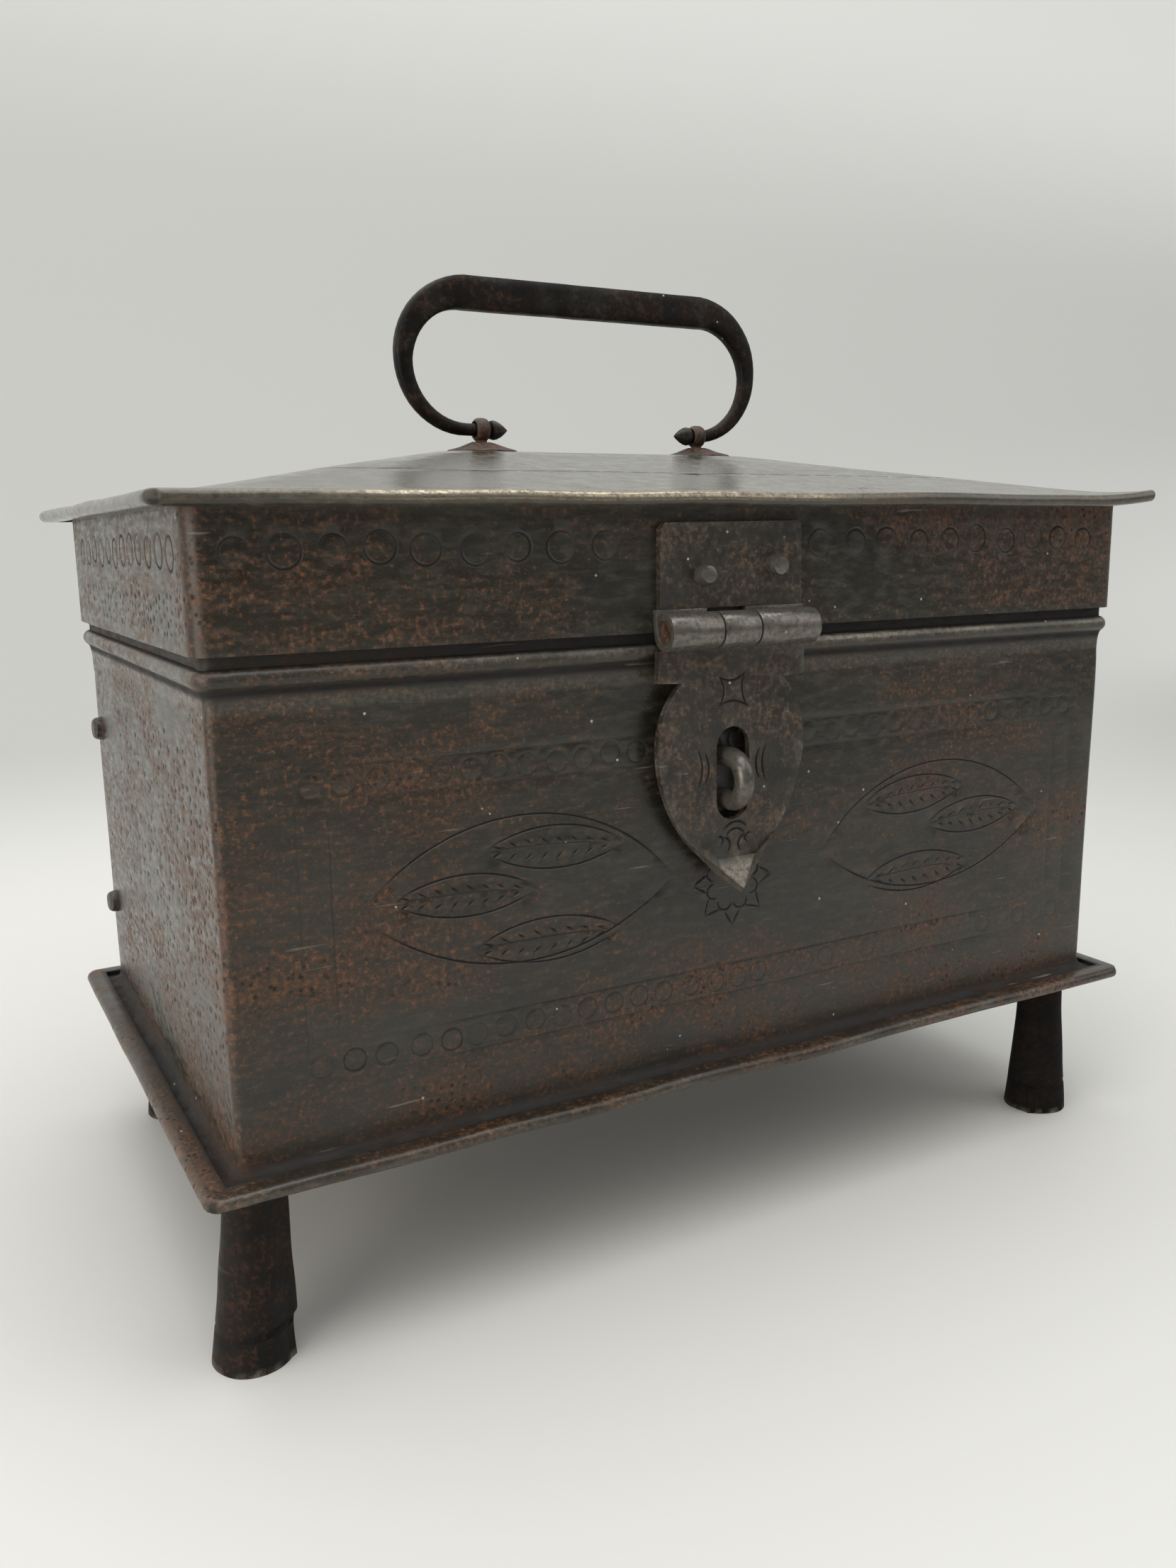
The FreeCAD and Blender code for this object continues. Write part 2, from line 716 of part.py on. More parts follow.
def rosette(x):
    """A domed washer with a scalloped rim, hollow underneath."""
    rim = (rosette_radius, rosette_rim)
    top = (rosette_crown, rosette_height)
    swell = ((rim[0] + top[0]) / 2, (rim[1] + top[1]) / 2 + rosette_swell)
    steps = [(rosette_radius, 0), rim, (swell, top), (0, rosette_height)]
    face = closed_face((0, 0), steps, lambda r, z: vec(r, 0, z))
    dome = face.revolve(origin, along_z, 360)
    pitch = 360 / rosette_lobes
    valley = rosette_radius * rosette_valley_share
    lobes = []
    for number in range(rosette_lobes):
        at = number * pitch
        lobes.append((polar((0, 0), rosette_radius, at + pitch / 2), polar((0, 0), valley, at + pitch)))
    outline = closed_face(polar((0, 0), valley, 0), closed_lobes(lobes, valley), lambda a, b: vec(a, b, 0))
    washer = dome.common(outline.extrude(vec(0, 0, rosette_height)))
    hollow = dome.copy()
    hollow.translate(vec(0, 0, -sheet))
    hole = cylinder(vec(0, 0, -overrun), along_z, eye_shank + hole_clearance, rosette_height + 2 * overrun)
    washer = washer.cut([hollow, hole])
    washer.translate(vec(x, 0, summit_z))
    return washer


def closed_lobes(lobes, valley):
    """The last lobe ends exactly where the first began."""
    return lobes[:-1] + [(lobes[-1][0], polar((0, 0), valley, 0))]


def handle_eye(x):
    """A split eye: ring round the bail's end, shank through rosette and lid, legs spread inside."""
    left = x - eye_width / 2
    ring = cylinder(vec(left, 0, pivot_z), along_x, eye_radius, eye_width)
    under = summit_z - sheet
    leg_z = under - eye_leg_radius - seat_gap
    shank = cylinder(vec(x, 0, leg_z), along_z, eye_shank, pivot_z - leg_z)
    legs = cylinder(vec(x, -eye_leg_length, leg_z), along_y, eye_leg_radius, 2 * eye_leg_length)
    hole = cylinder(vec(left - overrun, 0, pivot_z), along_x, eye_hole, eye_width + 2 * overrun)
    return merged([ring, shank, legs]).cut(hole)


def bail_section(x, z, tilt, depth, thickness, edge_share):
    """A rounded bar section square to the bail's line, tilted in the bail's plane."""
    radius = edge_share * min(depth, thickness)
    wire = rounded_rectangle(depth / 2, thickness / 2, radius, 0)
    wire.rotate(origin, along_y, tilt)
    wire.translate(vec(x, 0, z))
    return wire


def between(first, last, share):
    return tuple(a + (b - a) * share for a, b in zip(first, last))


def bail_bend_x(side):
    """Where the straight rod ends and the bend begins."""
    return eye_span / 2 + bail_arc_set_out + side * bail_shift


def bail_stations(side):
    """One half of the bail, from the bend's start to the grip: x, z, tilt, depth, thickness, edge."""
    centre = bail_bend_x(side)
    rod = (bail_rod, bail_rod, bail_rod_edge_share)
    flank = (bail_side_depth, bail_side_thickness, bail_edge_share)
    top = (bail_top_depth, bail_top_thickness, bail_edge_share)
    stations = []
    for step in range(bail_bend_steps + 1):
        share = 2 * step / bail_bend_steps
        size = between(rod, flank, share) if share <= 1 else between(flank, top, share - 1)
        turn = 90 * share
        x, z = polar((centre, bail_arc), bail_arc, turn - 90)
        stations.append((x, z, 90 - turn) + size)
    for share in grip_station_shares:
        stations.append((centre * share, 2 * bail_arc, -90) + top)
    return stations


def knob():
    """The faceted point that keeps the rod in its eye, drawn along X from the origin."""
    rings = []
    for at, radius in ((0, bail_rod / 2), (knob_length * knob_shoulder_share, knob_radius)):
        points = [polar((0, 0), radius, number * 360 / knob_sides) for number in range(knob_sides + 1)]
        rings.append(Part.makePolygon([vec(at, a, b) for a, b in points]))
    tip = Part.Vertex(vec(knob_length, 0, 0))
    shoulder = Part.makeLoft(rings, True, True)
    point = Part.makeLoft([rings[1], tip], True, True)
    return merged([shoulder, point])


def handle_bail():
    right = bail_stations(1)
    left = [(-x, z, -180 - tilt, depth, thickness, edge)
            for x, z, tilt, depth, thickness, edge in bail_stations(-1)]
    middle = (bail_shift, 2 * bail_arc, -90, bail_top_depth, bail_top_thickness, bail_edge_share)
    stations = right + [middle] + left[::-1]
    bar = Part.makeLoft([bail_section(*station) for station in stations], True, False)
    pieces = [bar]
    for side in (1, -1):
        start = eye_span / 2 - bail_rod_reach
        rod = cylinder(vec(side * start, 0, 0), along_x * side, bail_rod / 2, bail_bend_x(side) - start)
        point = knob()
        point.translate(vec(-start, 0, 0))
        pieces += [rod, mirror_x(point) if side > 0 else point]
    bail = merged(pieces)
    bail.translate(vec(handle_shift, 0, pivot_z))
    return bail


def nodes():
    front_left, front_right, back_left, back_right = at_each_foot(foot())
    left, right = hinge_places()
    eye_left, eye_right = eye_places()
    return {
        "wall_band": wall_band(),
        "base_plate": base_plate(),
        "foot_front_left": front_left,
        "foot_front_right": front_right,
        "foot_back_left": back_left,
        "foot_back_right": back_right,
        "wall_seam_rivets": seam_rivets(),
        "hasp_staple": staple(),
        "hinge_left_body_leaf": hinge_body_leaf(left),
        "hinge_right_body_leaf": hinge_body_leaf(right),
        "hinge_left_pin": hinge_pin(left),
        "hinge_right_pin": hinge_pin(right),
        "hinge_body_rivets": hinge_body_rivets(),
        "lid_top": lid_top(),
        "lid_skirt": lid_skirt(),
        "hasp_plate": hasp_plate(),
        "hasp_pin": barrel_pin(barrel_left, barrel_right),
        "hasp_plate_rivets": hasp_rivets(),
        "hinge_left_lid_leaf": hinge_lid_leaf(left),
        "hinge_right_lid_leaf": hinge_lid_leaf(right),
        "hinge_lid_rivets": hinge_lid_rivets(),
        "handle_rosette_left": rosette(eye_left),
        "handle_rosette_right": rosette(eye_right),
        "handle_eye_left": handle_eye(eye_left),
        "handle_eye_right": handle_eye(eye_right),
        "hasp_leaf": hasp_leaf(),
        "handle_bail": handle_bail(),
    }


def main():
    os.makedirs("parts", exist_ok=True)
    for name, shape in nodes().items():
        shape.translate(vec(0, plan_shift, 0))
        shape.exportStep(f"parts/{name}.step")
        print(name, len(shape.Solids), shape.isValid(), round(shape.Volume, 2))
    print("lid axis", half_depth + axis_out + plan_shift, axis_z)
    print("hasp axis", -half_depth - axis_out + plan_shift, axis_z)
    print("handle axis", plan_shift, pivot_z)


main()
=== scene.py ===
import json
import math
import random

import bmesh
import bpy
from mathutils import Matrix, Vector, noise
from mathutils.geometry import delaunay_2d_cdt
from mathutils.kdtree import KDTree


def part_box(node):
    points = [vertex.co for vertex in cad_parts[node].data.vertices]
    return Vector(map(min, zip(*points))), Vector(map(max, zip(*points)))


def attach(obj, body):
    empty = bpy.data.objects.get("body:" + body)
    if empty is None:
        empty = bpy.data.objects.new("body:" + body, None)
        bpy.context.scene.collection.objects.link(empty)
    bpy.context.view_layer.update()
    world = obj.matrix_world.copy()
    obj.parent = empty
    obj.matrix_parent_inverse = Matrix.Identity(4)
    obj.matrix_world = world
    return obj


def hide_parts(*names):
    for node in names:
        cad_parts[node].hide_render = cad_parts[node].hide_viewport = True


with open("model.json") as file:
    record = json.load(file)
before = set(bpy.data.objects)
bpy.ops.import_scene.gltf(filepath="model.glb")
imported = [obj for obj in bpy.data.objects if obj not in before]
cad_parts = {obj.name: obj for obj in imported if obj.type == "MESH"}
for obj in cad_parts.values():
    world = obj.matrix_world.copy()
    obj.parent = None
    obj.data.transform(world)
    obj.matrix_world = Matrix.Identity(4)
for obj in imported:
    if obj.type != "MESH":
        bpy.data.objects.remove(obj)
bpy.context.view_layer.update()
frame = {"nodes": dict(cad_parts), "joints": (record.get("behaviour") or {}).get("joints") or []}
mm = 0.001  # every size below is in millimetres
tiny = 1e-6  # slack when places are compared
print("frame loaded")


def nodeBox(node):
    low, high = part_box(node)
    return [c / mm for c in low], [c / mm for c in high]


def jointPlace(name):
    return [c / mm for joint in frame["joints"] if joint["name"] == name for c in joint["pos_m"]]


lidLow, lidHigh = nodeBox("lid_top")
skirtLow, skirtHigh = nodeBox("lid_skirt")
baseLow, baseHigh = nodeBox("base_plate")
haspAxis = jointPlace("hasp_swing")
bailAxis = jointPlace("handle_swing")

chest = {
    "sheet": 1.0,  # walls, lid, base and feet
    "strap": 1.6,  # hasp and hinges
    "cornerRadius": 4.0,
    "lidLedge": 7.0,  # lid edge beyond the skirt's face
    "baseLedge": 6.0,
    "wallSetIn": 2.0,  # wall behind the skirt's face
    "seamFromBack": 14.0,  # lapped seam on the left face
    "panelStep": 4.0,  # mesh step on flat sheet
    "cornerSteps": 5,
}
sheet = chest["sheet"]
strap = chest["strap"]
cornerRadius = chest["cornerRadius"]
halfX = lidHigh[0] - chest["lidLedge"]
halfY = (lidHigh[1] - lidLow[1]) / 2 - chest["lidLedge"]
midY = (lidHigh[1] + lidLow[1]) / 2
floorZ = baseLow[2] + sheet
skirtZ = skirtLow[2]
roofZ = skirtHigh[2] + sheet
axisZ = haspAxis[2]
axisOut = midY - halfY - haspAxis[1]


def toLinear(code):
    values = [int(code[i:i + 2], 16) / 255 for i in (1, 3, 5)]
    return tuple(c / 12.92 if c <= 0.04045 else ((c + 0.055) / 1.055) ** 2.4 for c in values) + (1.0,)


def addNode(tree, kind, inputs, **settings):
    node = tree.nodes.new(kind)
    for key, value in settings.items():
        setattr(node, key, value)
    for socket, value in inputs.items():
        if isinstance(value, bpy.types.NodeSocket):
            tree.links.new(value, node.inputs[socket])
        else:
            node.inputs[socket].default_value = value
    return node


# How the iron's patterns combine: result, work, inputs, and whether it stays within 0 and 1. A word is an earlier
# result or a value of the finish. A range takes a pattern, where it starts and ends, and what it gives there.
ironSteps = (
    ("gather", "MULTIPLY_ADD", ("stain", "stainShare", "patch"), False),  # rust gathers in the stained parts
    ("crowd", "MULTIPLY_ADD", ("gather", "crowding", "freckle"), False),
    ("crowd", "MULTIPLY_ADD", ("streak", "clump", "crowd"), False),
    ("shade", "range", ("cloud", 0.36, 0.66, 0.0, 1.0), True),
    ("streaked", "range", ("streak", 0.46, 0.74, 0.0, "streakShare"), True),
    ("film", "range", ("gather", 0.44, 0.78, 0.0, "filmShare"), True),
    ("rust", "range", ("crowd", "rustFrom", "rustFull", 0.0, "rustShare"), True),
    ("hue", "range", ("freckle", 0.48, 0.72, 0.0, 1.0), True),
    ("hole", "range", ("pit", 0.18, 0.32, 1.0, 0.0), True),
    ("some", "range", ("gather", 0.62, 0.78, 0.0, "pitShare"), True),
    ("pitted", "MULTIPLY", ("hole", "some"), False),
    ("dirtAndShadeShare", "MAXIMUM", ("pitted", "groove"), False),  # dirt in pits and grooves, plus painted shade in recesses and on shaded feet
    ("line", "range", ("scratch", 0.73, 0.79, 0.0, "scratchShare"), True),
    ("specks", "range", ("fleck", 0.03, 0.045, 0.8, 0.0), True),
    ("worn", "range", ("freckle", 0.32, 0.58, 0.0, 1.0), True),
    ("bareAndGleam", "ADD", ("rub", "bareEverywhere"), True),  # metal that hands and use have rubbed, plus painted highlight and sheen on the wall's bead and the lid's hem
    ("bareAndGleam", "MULTIPLY", ("bareAndGleam", "worn"), False),
    ("finish", "range", ("streak", 0.35, 0.68, "smooth", "rough"), True),
    ("finish", "MULTIPLY_ADD", ("rust", "rustRough", "finish"), True),
    ("finish", "MULTIPLY_ADD", ("dirtAndShadeShare", "dirtRough", "finish"), True),
    ("grain", "MULTIPLY_ADD", ("streak", "streakRelief", "freckle"), False),
    ("grain", "MULTIPLY_ADD", ("pitted", "pitRelief", "grain"), False),
)


def ironMaterial(name, look):
    material = bpy.data.materials.new(name)
    material.use_nodes = True
    tree = material.node_tree
    tree.nodes.clear()
    look = dict(look, rustFull=look["rustFrom"] + look["rustWidth"])
    value = {"whole": addNode(tree, "ShaderNodeTexCoord", {}).outputs["Object"]}
    for key in ("drawn", "spread", "scratched"):
        value[key] = addNode(tree, "ShaderNodeMapping", {"Vector": value["whole"], "Scale": look[key]}).outputs[0]
    for key, space, detail, roughness in (("cloud", "drawn", 5.0, 0.6), ("streak", "drawn", 4.0, 0.65),
                                          ("patch", "spread", 4.0, 0.6), ("freckle", "whole", 5.0, 0.74),
                                          ("scratch", "scratched", 2.0, 0.5)):
        value[key] = addNode(tree, "ShaderNodeTexNoise", {"Vector": value[space], "Scale": 1 / (look[key] * mm),
                                                          "Detail": detail, "Roughness": roughness}).outputs["Fac"]
    for key in ("pit", "fleck"):
        value[key] = addNode(tree, "ShaderNodeTexVoronoi", {"Vector": value["whole"], "Scale": 1 / (look[key] * mm)}
                             ).outputs["Distance"]
    for key in ("groove", "rub", "stain"):
        value[key] = addNode(tree, "ShaderNodeAttribute", {}, attribute_name=key).outputs["Fac"]
    for key, work, inputs, clamp in ironSteps:
        given = [value.get(item, look.get(item)) if isinstance(item, str) else item for item in inputs]
        sockets = dict(enumerate(given))
        if work == "range":
            step = addNode(tree, "ShaderNodeMapRange", sockets, clamp=clamp)
        else:
            step = addNode(tree, "ShaderNodeMath", sockets, operation=work, use_clamp=clamp)
        value[key] = step.outputs[0]
    value["rustTone"] = addNode(tree, "ShaderNodeMix", {0: value["hue"], 6: toLinear(look["rustDark"]),
                                                        7: toLinear(look["rust"])}, data_type="RGBA").outputs[2]
    # oxide, wax worn grey, brown film, rust, dirt in pits and grooves plus painted shade, scratches, dust, metal rubbed
    # bare plus painted highlight and sheen
    tone = toLinear(look["dark"])
    for share, colour in (("shade", "mid"), ("streaked", "grey"), ("film", "film"), ("rust", "rustTone"),
                          ("dirtAndShadeShare", "dirtAndShade"), ("line", "bright"), ("specks", "dust"), ("bareAndGleam", "bright")):
        colour = value["rustTone"] if colour == "rustTone" else toLinear(look[colour])
        tone = addNode(tree, "ShaderNodeMix", {0: value[share], 6: tone, 7: colour}, data_type="RGBA").outputs[2]
    bump = addNode(tree, "ShaderNodeBump", {"Height": value["grain"], "Strength": look["bump"],
                                            "Distance": look["relief"] * mm})
    shader = addNode(tree, "ShaderNodeBsdfPrincipled", {"Base Color": tone, "Metallic": value["bareAndGleam"],
                                                        "Roughness": value["finish"], "Normal": bump.outputs[0],
                                                        "Specular IOR Level": look["gloss"]})
    addNode(tree, "ShaderNodeOutputMaterial", {"Surface": shader.outputs[0]})
    return material


# Rolled sheet iron, waxed over black-brown oxide: satin, brushed sideways, freckled with rust
sheetLook = {
    "dark": "#1a1914", "mid": "#2d2c25", "grey": "#4c4b41", "film": "#35271b", "rust": "#7f5536", "rustDark": "#4b3322",
    # dirt is also the colour of painted shade, bright also that of painted highlights and sheen
    "dirtAndShade": "#0c0a08", "bright": "#948d81", "dust": "#b8b3a8",
    "drawn": (0.3, 0.3, 1.0), "spread": (0.55, 0.55, 1.0), "scratched": (0.06, 0.06, 1.0),
    "cloud": 17.0, "streak": 1.4, "patch": 15.0, "freckle": 1.15, "pit": 1.9, "scratch": 1.1, "fleck": 8.0,
    "streakShare": 0.5, "stainShare": 0.2, "filmShare": 0.6, "crowding": 0.55, "clump": 0.4, "rustFrom": 1.035,
    "rustWidth": 0.2, "rustShare": 0.85, "pitShare": 0.7, "scratchShare": 0.4, "bareEverywhere": 0.0,
    "smooth": 0.24, "rough": 0.40, "rustRough": 0.22, "dirtRough": 0.5, "gloss": 0.5,
    "bump": 0.4, "relief": 0.12, "streakRelief": 0.2, "pitRelief": -0.9,
}
sheetIron = ironMaterial("waxed sheet iron", sheetLook)
# The lid's sheet is handled more: smoother and greyer; its paler tones are also a painted sheen for the light the roof
# reflects, and its edge's warm gleam is partly rubbed metal, partly a painted highlight
lidIron = ironMaterial("polished lid iron", dict(
    sheetLook, dark="#2d2a24", mid="#474339", grey="#666257", bright="#a89d88", smooth=0.13, rough=0.29, rustShare=0.6,
    rustFrom=1.1))
# Strap iron of hasp and hinges: hammered flat, finer grain, brown film
strapIron = ironMaterial("hammered strap iron", dict(
    sheetLook, dark="#1d1a16", mid="#332f29", rust="#75593f", rustDark="#574a3e", drawn=(1.0, 1.0, 1.0),
    scratched=(0.3, 0.3, 1.0), cloud=12.0, streak=2.0, patch=9.0, pit=1.6, streakShare=0.4, rustFrom=0.97, smooth=0.34,
    rough=0.5))
# Barrel, staple and rivets: rubbed to bare steel grey, dark in the pores
bareIron = ironMaterial("rubbed bare iron", dict(
    sheetLook, dark="#26221d", mid="#3c3832", bright="#85817a", drawn=(1.0, 1.0, 1.0), cloud=6.0, streak=2.2, patch=6.0,
    freckle=1.3, bareEverywhere=0.45, smooth=0.16, rough=0.36, rustFrom=1.0, rustShare=0.7))
# Forged bar of the handle and rolled feet: nearly black, dry
forgedIron = ironMaterial("black forged iron", dict(
    sheetLook, dark="#070605", mid="#120f0c", grey="#1d1a16", film="#261b13", rust="#5e402b", drawn=(0.6, 0.6, 0.6),
    patch=9.0, streakShare=0.3, rustShare=0.5, rustFrom=1.0, smooth=0.42, rough=0.6, gloss=0.18, scratchShare=0.08))
# Eyes and rosettes of the handle: brown with old rust, hardly waxed
rustedIron = ironMaterial("rusted fitting iron", dict(
    sheetLook, dark="#1c1510", mid="#382a21", grey="#40372e", film="#493427", rust="#855b3d", drawn=(1.0, 1.0, 1.0),
    cloud=5.0, patch=5.0, streak=2.0, rustFrom=0.95, smooth=0.44, rough=0.64))
print("iron finishes made")


def linkObject(name, mesh):
    piece = bpy.data.objects.new(name, mesh)
    bpy.context.scene.collection.objects.link(piece)
    return piece


def settle(piece):  # modifiers become a plain mesh
    bpy.context.view_layer.update()
    graph = bpy.context.evaluated_depsgraph_get()
    mesh = bpy.data.meshes.new_from_object(piece.evaluated_get(graph))
    piece.modifiers.clear()
    old = piece.data
    piece.data = mesh
    bpy.data.meshes.remove(old)
    mesh.name = piece.name


def finishPiece(piece, body, material, replaced, sharp=35.0):
    mesh = piece.data
    mesh.materials.clear()
    mesh.materials.append(material)
    mesh.polygons.foreach_set("use_smooth", [True] * len(mesh.polygons))
    mesh.set_sharp_from_angle(angle=math.radians(sharp))
    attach(piece, body)
    if replaced:
        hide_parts(*replaced)
    print(piece.name, len(mesh.polygons), "faces")


meshing = {"weld": 0.01, "bevelAngle": 50.0, "bevelSteps": 2, "grooveDirt": 4.0, "sample": 0.2, "clear": 0.25,
           "taper": 6.0, "taperLeast": 0.02, "dotSides": 6, "snap": 1e-5, "leastCorner": 0.05, "leastFold": 0.4,
           "leastBow": 0.01, "samePlace": 1e-4}


def makePiece(name, points, faces, marks=None, thickness=0.0, outward=False, bevel=0.0):
    mesh = bpy.data.meshes.new(name)
    mesh.from_pydata([Vector(p) * mm for p in points], [], faces)
    for key, values in (marks or {}).items():
        mesh.attributes.new(key, "FLOAT", "POINT").data.foreach_set("value", values)
    piece = linkObject(name, mesh)
    shell = bmesh.new()
    shell.from_mesh(mesh)
    bmesh.ops.remove_doubles(shell, verts=shell.verts, dist=meshing["weld"] * mm)
    if outward:
        bmesh.ops.recalc_face_normals(shell, faces=shell.faces)
    shell.to_mesh(mesh)
    shell.free()
    if thickness:
        solid = piece.modifiers.new("thickness", "SOLIDIFY")
        solid.thickness = thickness * mm
        solid.offset = -1.0
    if bevel:
        edge = piece.modifiers.new("edge", "BEVEL")
        edge.width = bevel * mm
        edge.segments = meshing["bevelSteps"]
        edge.limit_method = "ANGLE"
        edge.angle_limit = math.radians(meshing["bevelAngle"])
    settle(piece)
    return piece


def gridFaces(rows, count, closedRows=False, closedRound=True):  # quads between rows of points
    faces = []
    for r in range(rows if closedRows else rows - 1):
        n = (r + 1) % rows
        for i in range(count if closedRound else count - 1):
            k = (i + 1) % count
            faces.append((r * count + i, r * count + k, n * count + k, n * count + i))
    return faces


def endCaps(rows, count):
    return [tuple(range(count)), tuple(range((rows - 1) * count, rows * count))]


def joinShells(shells):
    points, faces = [], []
    for more, shape in shells:
        faces += [tuple(i + len(points) for i in face) for face in shape]
        points += more
    return points, faces


def ease(value):  # 0 to 1 with soft ends
    value = max(0.0, min(1.0, value))
    return value * value * (3 - 2 * value)


# Rust sits on the left end, low down, at the upright corners and in a band to the right
rusting = {
    "leftFrom": -25.0, "leftRun": 90.0, "leftMost": 0.8, "lowFrom": 84.0, "lowRun": 40.0, "lowMost": 0.75,
    "endDepth": 3.0, "endFrom": -30.0, "endRun": 40.0, "endLeast": 0.8, "endMore": 0.6, "cornerRun": 12.0,
    "cornerMost": 0.5, "bandFrom": 20.0, "bandRun": 60.0, "bandSkirt": 1.3, "bandWall": 0.4,
}


def stainAt(x, y, z):
    left = rusting["leftMost"] * ease((rusting["leftFrom"] - x) / rusting["leftRun"])
    low = rusting["lowMost"] * ease((rusting["lowFrom"] - z) / rusting["lowRun"])
    end = 0.0
    if x < -halfX + rusting["endDepth"]:
        end = rusting["endLeast"] + rusting["endMore"] * ease((rusting["endFrom"] - y) / rusting["endRun"])
    corner = rusting["cornerMost"] * ease((abs(x) - halfX + rusting["cornerRun"]) / rusting["cornerRun"])
    band = rusting["bandSkirt"] if z > skirtZ else rusting["bandWall"]
    return max(left, low, end, corner, band * ease((x - rusting["bandFrom"]) / rusting["bandRun"]))


def dent(x, y, z, size, height):
    return noise.noise(Vector((x, y, z)) / size) * height


def rubPatch(values, x, y, z):  # rubbed unevenly
    return max(0.0, values["rubMean"] + dent(x, y, z, values["rubSize"], values["rubMore"]))


# Plan outline of the skirt's face, walked from the seam on the left face round the front
seamRun = 2 * halfY - 2 * cornerRadius - chest["seamFromBack"] + cornerRadius
quarter = math.pi / 2 * cornerRadius
runX = 2 * (halfX - cornerRadius)
runY = 2 * (halfY - cornerRadius)
insideX = halfX - cornerRadius
insideY = halfY - cornerRadius
planLegs = [
    ("left", seamRun, (-halfX, -insideY + seamRun), (0, -1), (-1, 0)),
    ("corner", quarter, (-insideX, -insideY), 180.0, None),
    ("front", runX, (-insideX, -halfY), (1, 0), (0, -1)),
    ("corner", quarter, (insideX, -insideY), 270.0, None),
    ("right", runY, (halfX, -insideY), (0, 1), (1, 0)),
    ("corner", quarter, (insideX, insideY), 0.0, None),
    ("back", runX, (insideX, halfY), (-1, 0), (0, 1)),
    ("corner", quarter, (-insideX, insideY), 90.0, None),
    ("leftRest", runY - seamRun, (-halfX, insideY), (0, -1), (-1, 0)),
]


def onPlan(s, out):
    for kind, length, start, way, normal in planLegs:
        if s <= length + tiny:
            break
        s -= length
    if kind == "corner":
        turn = math.radians(way + 90 * s / length)
        reach = cornerRadius + out
        return start[0] + reach * math.cos(turn), start[1] + reach * math.sin(turn) + midY
    return start[0] + way[0] * s + normal[0] * out, start[1] + way[1] * s + normal[1] * out + midY


def legStart(name):
    total = 0.0
    for kind, length, *rest in planLegs:
        if kind == name:
            return total, total + length
        total += length


def planStops():
    stops = [0.0]
    for kind, length, *rest in planLegs:
        count = chest["cornerSteps"] if kind == "corner" else max(1, round(length / chest["panelStep"]))
        first = stops[-1]
        stops += [first + length * (i + 1) / count for i in range(count)]
    return stops


def strokeSides(line, closed, half):
    left, right = [], []
    count = len(line)
    for i, p in enumerate(line):
        a = line[(i - 1) % count] if closed or i else p
        b = line[(i + 1) % count] if closed or i < count - 1 else p
        d = Vector((b[0] - a[0], b[1] - a[1])).normalized()
        left.append((p[0] - d.y * half, p[1] + d.x * half))
        right.append((p[0] + d.y * half, p[1] - d.x * half))
    return left, right


def cutSheet(grid, strokes, loops=(), dots=()):
    # triangles over flat sheet with V grooves: returns places, faces and how deep each point is cut
    samples = []
    lines = [(list(loop), True) for loop in loops]
    for line, closed, width, depth in strokes:
        left, right = strokeSides(line, closed, width / 2)
        lines += [(line, closed), (left, closed), (right, closed)]
        ends = list(line) + ([line[0]] if closed else [])
        total = len(ends) - 1
        for i in range(total):
            a, b = Vector(ends[i]), Vector(ends[i + 1])
            pieces = max(1, int((b - a).length / meshing["sample"]))
            for k in range(pieces):
                along = (i + k / pieces) / total
                fade = meshing["taper"]
                taper = 1.0 if closed else min(1.0, fade * along, fade * (1 - along) + meshing["taperLeast"])
                deep = depth[i] if isinstance(depth, list) else depth
                samples.append((a.lerp(b, k / pieces), width / 2, deep * taper))
    for x, z, radius, depth in dots:
        lines.append((ringLine(x, z, radius, meshing["dotSides"]), True))
        samples.append((Vector((x, z)), radius, depth))
    tree = KDTree(max(1, len(samples)))
    for i, sample in enumerate(samples):
        tree.insert((sample[0].x, sample[0].y, 0), i)
    tree.balance()

    def depthAt(p):
        if not samples:
            return 0.0, math.inf
        place, index, gap = tree.find((p[0], p[1], 0))
        half, depth = samples[index][1:]
        return depth * max(0.0, 1 - gap / half), gap - half

    points = [Vector(p) for p in grid if depthAt(p)[1] > meshing["clear"]] + [Vector(dot[:2]) for dot in dots]
    edges = []
    for line, closed in lines:
        first = len(points)
        points += [Vector(p) for p in line]
        edges += [(first + i, first + i + 1) for i in range(len(line) - 1)]
        if closed:
            edges.append((first + len(line) - 1, first))
    places, _, faces, *rest = delaunay_2d_cdt(points, edges, [], 0, meshing["snap"])
    return places, faces, [depthAt(p)[0] for p in places]


def arcLine(a, b, rise, step=1.3):  # arc from a to b that stands rise to the left of the chord
    a, b = Vector(a), Vector(b)
    chord = b - a
    normal = Vector((-chord.y, chord.x)).normalized()
    if abs(rise) < meshing["leastBow"]:
        count = max(2, int(chord.length / step))
        return [tuple(a.lerp(b, i / count)) for i in range(count + 1)]
    radius = (chord.length ** 2 / 4 + rise ** 2) / (2 * rise)
    centre = (a + b) / 2 + normal * (rise - radius)
    first = math.atan2(a.y - centre.y, a.x - centre.x)
    half = math.asin(max(-1.0, min(1.0, chord.length / 2 / abs(radius))))
    half = math.pi - half if abs(rise) > abs(radius) else half
    sweep = -2 * half if rise > 0 else 2 * half
    count = max(3, int(abs(radius * sweep) / step))
    return [(centre.x + abs(radius) * math.cos(first + sweep * i / count),
             centre.y + abs(radius) * math.sin(first + sweep * i / count)) for i in range(count + 1)]


def ringLine(x, z, radius, count=14):
    return [(x + radius * math.cos(2 * math.pi * i / count), z + radius * math.sin(2 * math.pi * i / count))
            for i in range(count)]


rustPits = {"least": 0.4, "most": 0.95, "depth": 0.34, "apart": 2.1, "wallCount": 420, "skirtCount": 110, "tries": 4,
            "margin": 1.5, "crowding": 0.6}


